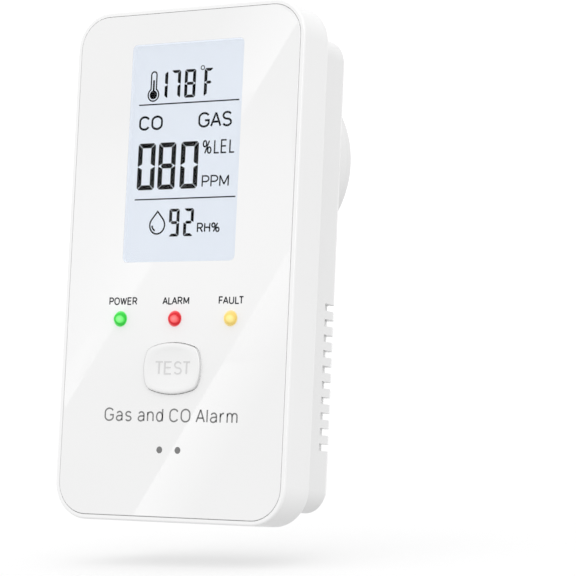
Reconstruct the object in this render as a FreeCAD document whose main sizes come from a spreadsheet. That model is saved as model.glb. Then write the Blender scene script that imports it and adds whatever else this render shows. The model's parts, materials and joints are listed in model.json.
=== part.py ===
import FreeCAD, Part
import math
import os
import Sketcher

# A plug-in gas and carbon monoxide alarm. Millimetres. X is to the right seen from the front, Y runs
# from the front panel to the wall and Z is up. The origin is the centre of the plug head's outer
# face, which rests on the wall outlet, so the case lies at negative Y and the blades at positive Y.

# Driving dimensions: (alias, value, what it is)
DRIVING = [
    ("case_width", 55.4, "front shell, across"),
    ("case_top", 28.55, "front shell, upper edge"),
    ("case_bottom", -76.55, "front shell, lower edge"),
    ("case_corner", 7.7, "front shell, corner radius"),
    ("case_front", -33.1, "front shell, front of the rim"),
    ("case_ledge", -23.25, "front shell, rear ledge"),
    ("case_wall", 1.8, "front shell, side wall"),
    ("rim_width", 0.95, "front shell, rim round the panel"),
    ("rim_round", 0.45, "front shell, rounding of the rim"),
    ("ledge_round", 1.1, "front shell, rounding of the rear edge"),
    ("lip_thickness", 1.5, "front shell, inward lip at the ledge"),
    ("front_wall", 1.6, "front shell, wall behind the panel"),
    ("panel_front", -33.2, "front panel, front face"),
    ("panel_thickness", 1.2, "front panel"),
    ("panel_round", 0.15, "front panel, rounding of the front edges"),
    ("panel_gap", 0.1, "front panel, gap to the rim"),
    ("window_width", 27.2, "display window, across"),
    ("window_top", 21.2, "display window, upper edge"),
    ("window_bottom", -24.0, "display window, lower edge"),
    ("window_corner", 1.1, "display window, corner radius"),
    ("window_gap", 0.03, "display lens, gap to the panel"),
    ("back_width", 48.9, "rear shell, across"),
    ("back_top", 24.0, "rear shell, upper edge"),
    ("back_bottom", -73.5, "rear shell, lower edge"),
    ("back_corner", 4.6, "rear shell, corner radius"),
    ("back_face", -9.1, "rear shell, rear face"),
    ("back_wall", 1.6, "rear shell, side wall"),
    ("back_floor", 1.8, "rear shell, rear wall"),
    ("bevel_across", 1.46, "rear shell, bevel measured on the rear face"),
    ("bevel_deep", 2.92, "rear shell, bevel measured along Y"),
    ("joint_gap", 0.25, "gap between the two shells at the ledge"),
    ("tongue_thickness", 0.8, "rear shell, tongue inside the lip"),
    ("tongue_gap", 0.11, "gap between tongue and lip"),
    ("tongue_end", -24.9, "rear shell, front end of the tongue"),
    ("vent_pitch", 3.16, "side vents, pitch"),
    ("vent_height", 1.45, "side vents, height"),
    ("vent_first", -31.63, "side vents, centre of the top one"),
    ("vent_front", -15.2, "side vents, front end"),
    ("vent_inner", 21.3, "side vents, inner end on the rear face"),
    ("slot_pitch", 3.1, "bottom vents, pitch"),
    ("slot_width", 1.3, "bottom vents, width"),
    ("slot_top", -71.4, "bottom vents, upper end"),
    ("slot_front", -12.5, "bottom vents, front end"),
    ("board_shank", 0.9, "board screws, shank"),
    ("power_shank", 0.8, "power board screws, shank"),
    ("screw_x", 20.0, "case screws, distance from the middle"),
    ("screw_high", 15.4, "case screws, upper pair"),
    ("screw_low", -69.7, "case screws, lower pair"),
    ("well_radius", 2.25, "screw wells"),
    ("well_floor", -18.4, "screw wells, seat of the head"),
    ("tube_radius", 3.6, "screw tubes of the rear shell"),
    ("tube_end", -20.0, "screw tubes, front end"),
    ("boss_radius", 2.0, "screw bosses of the front shell"),
    ("plug_radius", 2.2, "screw plugs"),
    ("plug_thickness", 1.6, "screw plugs"),
    ("shank_radius", 1.1, "case screws, shank"),
    ("lcd_margin", 0.8, "display glass, margin round the window"),
    ("lcd_thickness", 1.8, "display glass"),
    ("light_thickness", 3.0, "display backlight"),
    ("light_foot", 1.4, "display backlight, lower edge above the glass's edge"),
    ("frame_wall", 1.3, "display frame, wall"),
    ("frame_rib", 1.2, "display frame, ribs behind the backlight"),
    ("led_x", 13.35, "outer LEDs, distance from the middle"),
    ("led_height", -35.6, "LEDs, height"),
    ("led_radius", 1.4, "LEDs, dome"),
    ("led_front", -34.6, "LEDs, top of the dome"),
    ("button_height", -45.65, "test button, centre"),
    ("button_width", 13.5, "test button, across"),
    ("button_tall", 10.2, "test button, height"),
    ("button_side", 0.9, "test button, bulge of the left and right sides"),
    ("button_arch", 1.2, "test button, bulge of the upper and lower sides"),
    ("button_corner", 2.0, "test button, corner radius"),
    ("button_front", -33.8, "test button, front face"),
    ("button_gap", 0.2, "test button, gap to the panel"),
    ("button_round", 0.4, "test button, rounding of the front edge"),
    ("button_wall", 1.6, "test button, wall of the cap"),
    ("button_flange", 1.0, "test button, width and thickness of the flange"),
    ("stem_radius", 1.6, "test button, stem"),
    ("switch_height", 3.1, "tact switch, cover above the board"),
    ("switch_half", 3.0, "tact switch, half width"),
    ("plunger_radius", 1.7, "tact switch, plunger"),
    ("plunger_height", 3.7, "tact switch, plunger's end above the board"),
    ("sound_x", 2.2, "sound holes, distance from the middle"),
    ("sound_height", -62.1, "sound holes, height"),
    ("sound_radius", 0.65, "sound holes"),
    ("buzzer_radius", 6.0, "buzzer"),
    ("gasket_thickness", 0.5, "buzzer gasket"),
    ("board_front", -25.2, "main board, front face"),
    ("board_thickness", 1.6, "both boards"),
    ("board_half", 22.4, "main board, half width"),
    ("board_neck", 16.6, "main board, half width beside the bosses"),
    ("sensor_lift", 0.6, "gas and carbon monoxide sensors, height above the board"),
    ("gas_base", 8.4, "gas sensor, base radius"),
    ("gas_cap", 6.3, "gas sensor, cap radius"),
    ("gas_height", 8.6, "gas sensor, base and cap"),
    ("monoxide_radius", 7.3, "carbon monoxide sensor, can"),
    ("monoxide_height", 9.4, "carbon monoxide sensor, can"),
    ("power_front", -14.4, "power board, front face"),
    ("power_half", 15.8, "power board, half width"),
    ("power_top", 21.0, "power board, upper edge"),
    ("power_bottom", -24.0, "power board, lower edge"),
    ("socket_radius", 21.3, "plug boss of the rear shell, outside"),
    ("socket_face", -3.5, "plug boss, rear face"),
    ("socket_bore", 15.6, "plug boss, bore that holds the lugs"),
    ("lip_bore", 14.2, "plug boss, lip that the lugs turn under"),
    ("lip_depth", 1.7, "plug boss, thickness of the lip"),
    ("head_radius", 20.9, "plug head, outside"),
    ("head_front", -3.4, "plug head, underside of the flange"),
    ("head_round", 1.5, "plug head, rounding of the rim"),
    ("head_recess", 17.4, "plug head, recess round the plug face"),
    ("recess_depth", 1.9, "plug head, depth of that recess"),
    ("spigot_radius", 14.0, "plug head, spigot"),
    ("spigot_end", -8.9, "plug head, front end of the spigot"),
    ("spigot_wall", 1.5, "plug head, wall and end of the spigot"),
    ("lug_front", -7.3, "plug head, front of the lugs"),
    ("lug_rear", -5.35, "plug head, rear of the lugs"),
    ("lug_radius", 15.3, "plug head, bayonet lugs"),
    ("face_radius", 16.6, "plug face"),
    ("face_level", -0.3, "plug face, outer side"),
    ("blade_x", 6.35, "plug blades, distance from the middle"),
    ("blade_height", 5.1, "plug blades, centre"),
    ("blade_thickness", 1.5, "plug blades"),
    ("blade_wide", 6.35, "plug blades, width"),
    ("blade_length", 15.9, "plug blades, length beyond the head"),
    ("blade_inner", -8.3, "plug blades, inner end"),
    ("blade_hole_y", 11.0, "plug blades, hole"),
    ("blade_hole_radius", 1.6, "plug blades, hole radius"),
    ("latch_angle", 48.4, "latch, right-handed angle about Y from X"),
    ("latch_outer", 23.6, "latch button, outer end"),
    ("latch_inner", 18.3, "latch button, inner end"),
    ("latch_half", 4.6, "latch button, half width"),
    ("latch_low", -8.3, "latch button, front side"),
    ("latch_high", -4.5, "latch button, rear side"),
    ("latch_gap", 0.15, "latch button, gap in its window"),
    ("latch_travel", 1.2, "latch button, travel"),
    ("spring_side", 2.9, "latch springs, distance from the middle"),
    ("spring_bore", 1.3, "latch springs, holes in the button"),
    ("spring_coil", 0.95, "latch springs, coil radius"),
    ("spring_wire", 0.16, "latch springs, wire radius"),
    ("pin_centre", 19.3, "latch pin, distance from the axis"),
    ("pin_radius", 0.6, "latch pin"),
    ("twist", 30.0, "plug head, turn from locked to open, degrees"),
]

DOCUMENT = FreeCAD.newDocument("gas_and_carbon_monoxide_alarm")
AXIS_Y = FreeCAD.Vector(0, 1, 0)
AXIS_X = FreeCAD.Vector(1, 0, 0)
ALONG_Z = FreeCAD.Rotation()
ALONG_Y = FreeCAD.Rotation(AXIS_X, -90)
ALONG_X = FreeCAD.Rotation(AXIS_Y, 90)
VENTS = 10
SLOTS = 11
LUG_SWEEP = 28.0
LUG_CENTRES = (90.0, 210.0, 330.0)
LATCH_MARGIN = 5.0
SPRING_TURNS = 4.5
OVER = 1.0  # how far a cutting tool reaches past the face that it opens
CLEAR = 0.05  # gap between neighbours that don't bear on each other
LEAD_HALF = 0.25  # component leads, half their width
LEAD_HOLE = 0.35  # holes for those leads, half their width
LEAD_TAIL = 0.8  # how far leads stand out behind the main board
LED_LEAD_X = 0.64  # LED leads, distance from the LED's axis
HEADER_HALF = 0.32  # header pins, half their width
HEADER_PITCH = 2.54
LCD_PITCH = 2.0
LCD_PINS = 12
SUB_PARTS = []


class Size:
    """A length with the spreadsheet formula that drives it."""

    def __init__(self, text, value):
        self.text = text
        self.value = float(value)

    def __add__(self, other):
        return joined(self, "+", other, self.value + as_size(other).value)

    def __radd__(self, other):
        return as_size(other) + self

    def __sub__(self, other):
        return joined(self, "-", other, self.value - as_size(other).value)

    def __rsub__(self, other):
        return as_size(other) - self

    def __mul__(self, other):
        return joined(self, "*", other, self.value * as_size(other).value)

    def __rmul__(self, other):
        return as_size(other) * self

    def __truediv__(self, other):
        return joined(self, "/", other, self.value / as_size(other).value)

    def __neg__(self):
        return Size("(-1 * " + self.text + ")", -self.value)


def as_size(number):
    if isinstance(number, Size):
        return number
    return Size("(" + repr(float(number)) + ")", number)


def joined(first, sign, second, value):
    return Size("(" + as_size(first).text + " " + sign + " " + as_size(second).text + ")", value)


class Sheet:
    """The driving dimensions, each read as an attribute."""

    def __init__(self, rows):
        self.cells = DOCUMENT.addObject("Spreadsheet::Sheet", "Sizes")
        self.values = {}
        for row, (alias, value, note) in enumerate(rows, start=1):
            self.cells.set("A%d" % row, alias)
            self.cells.set("B%d" % row, repr(value))
            self.cells.set("C%d" % row, note)
            self.cells.setAlias("B%d" % row, alias)
            self.values[alias] = value
        DOCUMENT.recompute()

    def __getattr__(self, alias):
        return Size("Sizes." + alias, self.values[alias])


S = Sheet(DRIVING)

# Levels and widths that follow from the driving dimensions
CASE_HALF = S.case_width / 2
BACK_HALF = S.back_width / 2
PANEL_BACK = S.panel_front + S.panel_thickness
WALL_INSIDE = PANEL_BACK + S.front_wall
FLOOR_INSIDE = S.back_face - S.back_floor
BOARD_REAR = S.board_front + S.board_thickness
POWER_REAR = S.power_front + S.board_thickness
SCREW_PLACES = [(side * S.screw_x, level) for side in (-1, 1) for level in (S.screw_high, S.screw_low)]
LED_PLACES = {"led_green": -1, "led_red": 0, "led_amber": 1}
LCD_HALF = S.window_width / 2 + S.lcd_margin
LCD_LOW = S.window_bottom - S.lcd_margin
LCD_HIGH = S.window_top + S.lcd_margin
GLASS_REAR = PANEL_BACK + CLEAR + S.lcd_thickness
LIGHT_REAR = GLASS_REAR + S.light_thickness
LCD_PIN_X = [LCD_PITCH * (i - (LCD_PINS - 1) / 2) for i in range(LCD_PINS)]
LCD_PIN_HEIGHT = LCD_LOW + S.light_foot / 2
HEADER_PIN_X = [HEADER_PITCH * (i - 1.5) for i in range(4)]
HEADER_HEIGHT = as_size(-21.6)
BOARD_SCREWS = [(side * S.screw_x, as_size(level)) for side in (-1, 1) for level in (5.0, -60.0)]
POWER_SCREWS = [(as_size(side * 12.9), as_size(level)) for side in (-1, 1) for level in (18.3, -21.3)]
PLUNGER_TIP = S.board_front - S.plunger_height
SENSOR_FOOT = BOARD_REAR + S.sensor_lift
GAS_PLACE = (11.0, -47.0)
MONOXIDE_PLACE = (-10.6, -47.0)
LATCH_POCKET = S.latch_inner - S.latch_travel - 0.2
LATCH_MIDDLE = (S.latch_low + S.latch_high) / 2
BLADE_LOW = S.blade_height - S.blade_wide / 2
BLADE_HIGH = S.blade_height + S.blade_wide / 2


# ---- primitives and booleans ----


def bind(item, path, size):
    item.setExpression(path, as_size(size).text)


def place(item, x, y, z, turn=ALONG_Z):
    corner = [as_size(value) for value in (x, y, z)]
    item.Placement = FreeCAD.Placement(FreeCAD.Vector(*[c.value for c in corner]), turn)
    for axis, value in zip("xyz", corner):
        bind(item, "Placement.Base." + axis, value)


def box(name, x, y, z):
    """A block between the low and high ends of each pair."""
    item = DOCUMENT.addObject("Part::Box", name)
    for path, (low, high) in zip(("Length", "Width", "Height"), (x, y, z)):
        bind(item, path, as_size(high) - low)
    place(item, x[0], y[0], z[0])
    return item


def rod(name, x, y, z, radius):
    """A round bar along the axis whose place is given as a pair."""
    item = DOCUMENT.addObject("Part::Cylinder", name)
    bind(item, "Radius", radius)
    turn, span = [(t, s) for t, s in zip((ALONG_X, ALONG_Y, ALONG_Z), (x, y, z)) if isinstance(s, tuple)][0]
    bind(item, "Height", as_size(span[1]) - span[0])
    start = [s[0] if isinstance(s, tuple) else s for s in (x, y, z)]
    place(item, start[0], start[1], start[2], turn)
    return item


def sector(name, y, radius, first, sweep):
    """A wedge of a round bar along Y, from one right-handed angle about Y."""
    item = rod(name, 0, y, 0, radius)
    item.Angle = sweep
    turn = FreeCAD.Rotation(AXIS_Y, first).multiply(ALONG_Y)
    item.Placement = FreeCAD.Placement(item.Placement.Base, turn)
    return item


def fuse(name, items):
    if len(items) == 1:
        return items[0]
    item = DOCUMENT.addObject("Part::MultiFuse", name)
    item.Shapes = items
    return item


def cut(name, base, tools):
    item = DOCUMENT.addObject("Part::Cut", name)
    item.Base = base
    item.Tool = fuse(name + "_tools", tools)
    return item


def common(name, first, second):
    item = DOCUMENT.addObject("Part::Common", name)
    item.Base = first
    item.Tool = second
    return item


def ring(name, x, y, z, outer, inner):
    return cut(name, rod(name + "_outside", x, y, z, outer), [rod(name + "_bore", x, y, z, inner)])


def group(name, items):
    item = DOCUMENT.addObject("Part::Compound", name)
    item.Links = items
    return item


def rounded(name, base, chosen, radius):
    """The base with the edges that pass the test rounded."""
    DOCUMENT.recompute()
    item = DOCUMENT.addObject("Part::Fillet", name)
    item.Base = base
    size = as_size(radius).value
    item.Edges = [(i, size, size) for i, edge in enumerate(base.Shape.Edges, start=1) if chosen(edge)]
    return item


def finished(label, item):
    item.Label = label
    SUB_PARTS.append(item)
    return item


# ---- bodies made from sketches ----


def new_body(name):
    return DOCUMENT.addObject("PartDesign::Body", name)


def sketch_on(body, role, offset):
    """A sketch on one of the body's own planes, moved along the plane's normal."""
    sketch = body.newObject("Sketcher::SketchObject", body.Name + "_sketch")
    sketch.AttachmentSupport = [(f, "") for f in body.Origin.OriginFeatures if f.Role == role]
    sketch.MapMode = "FlatFace"
    bind(sketch, "AttachmentOffset.Base.z", offset)
    return sketch


def fix(sketch, kind, *arguments):
    """Adds a constraint whose last argument is a size, bound to the sheet."""
    size = as_size(arguments[-1])
    index = sketch.addConstraint(Sketcher.Constraint(kind, *arguments[:-1], size.value))
    sketch.renameConstraint(index, "size_%d" % index)
    bind(sketch, "Constraints.size_%d" % index, size)


def fix_point(sketch, geometry, point, x, z):
    fix(sketch, "DistanceX", -1, 1, geometry, point, x)
    fix(sketch, "DistanceY", -1, 1, geometry, point, z)


def draw_circle(sketch, x, z, radius):
    centre = FreeCAD.Vector(as_size(x).value, as_size(z).value, 0)
    circle = Part.Circle(centre, FreeCAD.Vector(0, 0, 1), as_size(radius).value)
    index = sketch.addGeometry(circle, False)
    fix_point(sketch, index, 3, x, z)
    fix(sketch, "Radius", index, radius)


def draw_polygon(sketch, corners):
    points = [FreeCAD.Vector(as_size(x).value, as_size(z).value, 0) for x, z in corners]
    first = sketch.GeometryCount
    count = len(points)
    for i in range(count):
        sketch.addGeometry(Part.LineSegment(points[i], points[(i + 1) % count]), False)
    for i in range(count):
        sketch.addConstraint(Sketcher.Constraint("Coincident", first + i, 2, first + (i + 1) % count, 1))
        fix_point(sketch, first + i, 1, *corners[i])


def draw_rounded_rectangle(sketch, x, z, radius):
    """Four sides and four corner arcs, drawn anticlockwise from the lower side."""
    (left, right), (low, high) = [[as_size(value) for value in pair] for pair in (x, z)]
    r = as_size(radius).value
    x0, x1, z0, z1 = left.value, right.value, low.value, high.value
    sides = [((x0 + r, z0), (x1 - r, z0)), ((x1, z0 + r), (x1, z1 - r)),
             ((x1 - r, z1), (x0 + r, z1)), ((x0, z1 - r), (x0, z0 + r))]
    centres = [(x1 - r, z0 + r), (x1 - r, z1 - r), (x0 + r, z1 - r), (x0 + r, z0 + r)]
    first = sketch.GeometryCount
    for i in range(4):
        start, end = [FreeCAD.Vector(px, pz, 0) for px, pz in sides[i]]
        sketch.addGeometry(Part.LineSegment(start, end), False)
        circle = Part.Circle(FreeCAD.Vector(*centres[i], 0), FreeCAD.Vector(0, 0, 1), r)
        quarter = (i - 1) * math.pi / 2
        sketch.addGeometry(Part.ArcOfCircle(circle, quarter, quarter + math.pi / 2), False)
    for i in range(8):
        here, following = first + i, first + (i + 1) % 8
        sketch.addConstraint(Sketcher.Constraint("Tangent", here, 2, following, 1))
    for i in (3, 5, 7):
        sketch.addConstraint(Sketcher.Constraint("Equal", first + 1, first + i))
    for i in (0, 4):
        sketch.addConstraint(Sketcher.Constraint("Horizontal", first + i))
        sketch.addConstraint(Sketcher.Constraint("Vertical", first + i + 2))
    fix(sketch, "Radius", first + 1, radius)
    fix(sketch, "DistanceY", -1, 1, first, 1, low)
    fix(sketch, "DistanceX", -1, 1, first + 2, 1, right)
    fix(sketch, "DistanceY", -1, 1, first + 4, 1, high)
    fix(sketch, "DistanceX", -1, 1, first + 6, 1, left)


def draw_bulged_rectangle(sketch, half_width, half_height, height, side, arch):
    """Four shallow arcs round a rectangle centred on X = 0; the upright ones bulge by side and
    the others by arch."""
    right, up = half_width - side, half_height - arch
    low, high = height - up, height + up
    corners = [(-right, low), (right, low), (right, high), (-right, high)]
    middles = [(as_size(0), height - half_height), (half_width, height),
               (as_size(0), height + half_height), (-half_width, height)]
    first = sketch.GeometryCount
    for i in range(4):
        stops = [corners[i], middles[i], corners[(i + 1) % 4]]
        points = [FreeCAD.Vector(px.value, pz.value, 0) for px, pz in stops]
        sketch.addGeometry(Part.ArcOfCircle(*points), False)
    for i in range(4):
        start, end = 1, 2
        sketch.addConstraint(Sketcher.Constraint("Coincident", first + i, end, first + (i + 1) % 4, start))
        fix_point(sketch, first + i, start, *corners[i])
        chord, bulge = (right, arch) if i % 2 == 0 else (up, side)
        fix(sketch, "Radius", first + i, (chord * chord + bulge * bulge) / (2 * bulge))


def extruded(body, kind, sketch, length):
    feature = body.newObject("PartDesign::" + kind, body.Name + "_" + kind.lower())
    feature.Profile = sketch
    bind(feature, "Length", length)
    DOCUMENT.recompute()
    return feature


def pad_along_y(body, y, draw):
    """Adds material between two levels; draw fills the sketch in X and Z."""
    sketch = sketch_on(body, "XZ_Plane", -as_size(y[1]))
    draw(sketch)
    return extruded(body, "Pad", sketch, as_size(y[1]) - y[0])


def pocket_along_y(body, y, draw):
    """Removes material between two levels; fails if nothing is removed."""
    before = body.Shape.Volume
    sketch = sketch_on(body, "XZ_Plane", -as_size(y[0]))
    draw(sketch)
    feature = extruded(body, "Pocket", sketch, as_size(y[1]) - y[0])
    if feature.Shape.Volume > before - 1e-6:
        raise RuntimeError(body.Name + ": a pocket removed nothing")
    return feature


def edges_at(shape, y, inside=None):
    """The names of the edges that lie wholly at one level, within a box if one is given."""
    names = []
    for number, edge in enumerate(shape.Edges, start=1):
        bounds = edge.BoundBox
        level = abs(bounds.YMin - y) < 1e-4 and abs(bounds.YMax - y) < 1e-4
        if level and (inside is None or inside(bounds)):
            names.append("Edge%d" % number)
    return names


def dress(body, kind, edges, **sizes):
    """Rounds or bevels edges of the body's last feature."""
    dressed = body.Tip
    feature = body.newObject("PartDesign::" + kind, body.Name + "_" + kind.lower())
    feature.Base = (dressed, edges)
    if kind == "Chamfer":
        feature.ChamferType = "Two distances"
    for path, size in sizes.items():
        bind(feature, path, size)
    body.Tip = feature
    DOCUMENT.recompute()
    return feature


# ---- case ----


def case_outline(inset):
    def draw(sketch):
        x = (inset - CASE_HALF, CASE_HALF - inset)
        z = (S.case_bottom + inset, S.case_top - inset)
        draw_rounded_rectangle(sketch, x, z, S.case_corner - inset)
    return draw


def back_outline(inset):
    def draw(sketch):
        x = (inset - BACK_HALF, BACK_HALF - inset)
        z = (S.back_bottom + inset, S.back_top - inset)
        draw_rounded_rectangle(sketch, x, z, S.back_corner - inset)
    return draw


def case_block(name):
    """The solid front shell with its panel recess and inside cleared."""
    body = new_body(name)
    pad_along_y(body, (S.case_front, S.case_ledge), case_outline(as_size(0)))
    outer = CASE_HALF.value - 0.01

    def outside(bounds):
        return bounds.XMax - bounds.XMin > 2 or abs(bounds.XMax) > outer or abs(bounds.XMin) > outer

    dress(body, "Fillet", edges_at(body.Shape, S.case_front.value, outside), Radius=S.rim_round)
    dress(body, "Fillet", edges_at(body.Shape, S.case_ledge.value, outside), Radius=S.ledge_round)
    pocket_along_y(body, (S.case_front - OVER, PANEL_BACK), case_outline(S.rim_width))
    pocket_along_y(body, (WALL_INSIDE, S.case_ledge - S.lip_thickness), case_outline(S.case_wall))
    opening = S.back_wall - S.tongue_thickness - S.tongue_gap
    pocket_along_y(body, (S.case_ledge - S.lip_thickness, S.case_ledge + OVER), back_outline(opening))
    return body


def front_openings(name, reach, extra):
    """Tools for the LED, button and sound openings between two levels."""
    led_hole = S.led_radius + 0.1 + extra
    tools = [rod(name + "_" + led, side * S.led_x, reach, S.led_height, led_hole)
             for led, side in LED_PLACES.items()]
    tools += [rod(name + "_sound", side * S.sound_x, reach, S.sound_height, S.sound_radius + extra)
              for side in (-1, 1)]
    tools.append(button_block(name + "_button", reach, S.button_gap + extra))
    return tools


def button_block(name, reach, growth):
    body = new_body(name)
    half_width, half_height = S.button_width / 2 + growth, S.button_tall / 2 + growth

    def draw(sketch):
        draw_bulged_rectangle(sketch, half_width, half_height, S.button_height, S.button_side, S.button_arch)

    pad_along_y(body, reach, draw)
    upright = [
        "Edge%d" % number
        for number, edge in enumerate(body.Shape.Edges, start=1)
        if edge.BoundBox.YLength > 0.1 and edge.BoundBox.XLength < 0.01 and edge.BoundBox.ZLength < 0.01
    ]
    dress(body, "Fillet", upright, Radius=S.button_corner + growth)
    return body


def boss_parts():
    """The screw bosses behind the panel with the ribs that tie them to the side walls."""
    root = WALL_INSIDE - 0.2
    board_boss, rib_half, rib_step = 2.2, 0.6, 0.8
    wall = CASE_HALF - S.case_wall + 0.2
    solids = [rod("case_boss", x, (root, S.tube_end - CLEAR), z, S.boss_radius) for x, z in SCREW_PLACES]
    solids += [rod("board_boss", x, (root, S.board_front), z, board_boss) for x, z in BOARD_SCREWS]
    for x, z in SCREW_PLACES + BOARD_SCREWS:
        side = (x, wall) if x.value > 0 else (-wall, x)
        solids.append(box("boss_rib", side, (root, S.board_front - rib_step), (z - rib_half, z + rib_half)))
    return solids


def front_shell():
    past = 0.5
    reach = (PANEL_BACK - past, WALL_INSIDE + past)
    glass = 0.3
    display = box("front_shell_display", (-LCD_HALF - glass, LCD_HALF + glass), reach,
                  (LCD_LOW - glass, LCD_HIGH + glass))
    tools = front_openings("front_shell", reach, 0.1) + [display]
    opened = cut("front_shell_opened", case_block("front_shell_block"), tools)
    case_pilot = (WALL_INSIDE + 1.8, S.tube_end + OVER)
    board_pilot = (WALL_INSIDE + 0.8, S.board_front + OVER)
    holes = [rod("case_pilot", x, case_pilot, z, S.shank_radius) for x, z in SCREW_PLACES]
    holes += [rod("board_pilot", x, board_pilot, z, S.board_shank) for x, z in BOARD_SCREWS]
    finished("front_shell", cut("front_shell", fuse("front_shell_solid", [opened] + boss_parts()), holes))


def front_panel():
    body = new_body("front_panel_sheet")
    inset = S.rim_width + S.panel_gap
    pad_along_y(body, (S.panel_front, PANEL_BACK), case_outline(inset))
    dress(body, "Fillet", edges_at(body.Shape, S.panel_front.value), Radius=S.panel_round)

    def window(sketch):
        half = S.window_width / 2
        draw_rounded_rectangle(sketch, (-half, half), (S.window_bottom, S.window_top), S.window_corner)

    reach = (S.panel_front - OVER, PANEL_BACK + OVER)
    pocket_along_y(body, reach, window)
    finished("front_panel", cut("front_panel", body, front_openings("front_panel", reach, 0)))


def display_lens():
    body = new_body("display_lens")
    gap = S.window_gap

    def draw(sketch):
        half = S.window_width / 2 - gap
        z = (S.window_bottom + gap, S.window_top - gap)
        draw_rounded_rectangle(sketch, (-half, half), z, S.window_corner - gap)

    pad_along_y(body, (S.panel_front, PANEL_BACK), draw)
    finished("display_lens", body)


def rear_outside(name):
    """The rear shell as a solid block with its bevelled rear edge and its tongue."""
    body = new_body(name)
    pad_along_y(body, (S.case_ledge + S.joint_gap, S.back_face), back_outline(as_size(0)))
    dress(body, "Chamfer", edges_at(body.Shape, S.back_face.value), Size=S.bevel_deep, Size2=S.bevel_across)
    tongue = S.back_wall - S.tongue_thickness
    pad_along_y(body, (S.tongue_end, S.case_ledge + S.joint_gap), back_outline(tongue))
    return body


def rear_inside(name):
    """The space inside the rear shell, less the screw tubes and the power board's standoffs."""
    body = new_body(name)
    standoff_radius = 2.3
    pad_along_y(body, (S.tongue_end - OVER, FLOOR_INSIDE), back_outline(S.back_wall))
    kept = [rod("screw_tube", x, (S.tube_end, S.back_face), z, S.tube_radius) for x, z in SCREW_PLACES]
    kept += [rod("standoff", x, (POWER_REAR, S.back_face), z, standoff_radius) for x, z in POWER_SCREWS]
    return cut(name + "_space", body, kept)


def side_vents(side):
    """Slots through the side wall, the bevel and the edge of the rear wall."""
    tools = []
    for i in range(VENTS):
        centre = S.vent_first - i * S.vent_pitch
        x = (S.vent_inner, BACK_HALF + OVER) if side > 0 else (-BACK_HALF - OVER, -S.vent_inner)
        z = (centre - S.vent_height / 2, centre + S.vent_height / 2)
        tools.append(box("side_vent", x, (S.vent_front, S.back_face + OVER), z))
    return tools


def bottom_vents():
    tools = []
    for i in range(SLOTS):
        centre = (i - (SLOTS - 1) / 2) * S.slot_pitch
        x = (centre - S.slot_width / 2, centre + S.slot_width / 2)
        z = (S.back_bottom - OVER, S.slot_top)
        tools.append(box("bottom_vent", x, (S.slot_front, S.back_face + OVER), z))
    return tools


def latch_openings():
    """The latch button's window in the boss and the slot that its pin moves in."""
    gap = S.latch_gap
    slack = S.pin_radius + gap
    across = S.latch_half + gap
    window = box("latch_window", (LATCH_POCKET, S.socket_radius + 3 * OVER),
                 (S.latch_low - gap, S.latch_high + gap), (-across, across))
    pressed = S.pin_centre - S.latch_travel
    reach = (S.latch_high, S.socket_face + OVER)
    slot = [box("pin_slot", (pressed, S.pin_centre), reach, (-slack, slack))]
    slot += [rod("pin_slot_end", x, reach, 0, slack) for x in (pressed, S.pin_centre)]
    openings = fuse("latch_openings", [window] + slot)
    openings.Placement = latch_turn()
    return openings


def plug_socket():
    """The round boss on the rear face and the tools for its bore, its lip and the latch."""
    face_round, root, past = 0.4, 0.5, 0.5
    lug_slack = 3.0
    level = S.socket_face.value
    boss = rod("socket_boss", 0, (S.back_face - root, S.socket_face), 0, S.socket_radius)
    boss = rounded("socket_boss_rounded", boss, lambda e: abs(e.BoundBox.YMin - level) < 1e-4, face_round)
    lip = S.socket_face - S.lip_depth
    through = (lip - past, S.socket_face + OVER)
    holes = [rod("socket_bore", 0, (S.back_face, lip), 0, S.socket_bore)]
    holes.append(rod("lip_bore", 0, through, 0, S.lip_bore))
    gap = LUG_SWEEP + lug_slack
    for centre in LUG_CENTRES:
        first = centre + S.twist.value - gap / 2
        holes.append(sector("lip_gap", through, S.socket_bore, first, gap))
    return boss, holes + [latch_openings()]


def rear_shell():
    boss, socket_holes = plug_socket()
    solid = fuse("rear_shell_solid", [rear_outside("rear_shell_outside"), boss])
    holes = [rear_inside("rear_shell_inside")] + socket_holes
    holes += side_vents(-1) + side_vents(1) + bottom_vents()
    shank_hole = S.shank_radius + 0.15
    pilot = (POWER_REAR - OVER, POWER_REAR + 2.6)
    for x, z in SCREW_PLACES:
        holes.append(rod("well", x, (S.well_floor, S.back_face + OVER), z, S.well_radius))
        holes.append(rod("screw_hole", x, (S.tube_end - OVER, S.back_face), z, shank_hole))
    for x, z in POWER_SCREWS:
        holes.append(rod("power_pilot", x, pilot, z, S.power_shank))
    through = (FLOOR_INSIDE - OVER, S.back_face + OVER)
    holes += [box("contact_window", x, through, (-3.8, 2.0)) for x in ((-11.4, -7.6), (7.6, 11.4))]
    finished("rear_shell", cut("rear_shell", solid, holes))


# ---- display, LEDs and test button ----


def display_parts():
    across = (-LCD_HALF, LCD_HALF)
    finished("lcd_glass", box("lcd_glass", across, (PANEL_BACK + CLEAR, GLASS_REAR), (LCD_LOW, LCD_HIGH)))
    upright = (LCD_LOW + S.light_foot, LCD_HIGH)
    finished("lcd_backlight", box("lcd_backlight", across, (GLASS_REAR, LIGHT_REAR), upright))
    lead = (GLASS_REAR, BOARD_REAR + LEAD_TAIL)
    pins = [pin("lcd_pin", x, LCD_PIN_HEIGHT, lead) for x in LCD_PIN_X]
    finished("lcd_pins", group("lcd_pins", pins))


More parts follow.
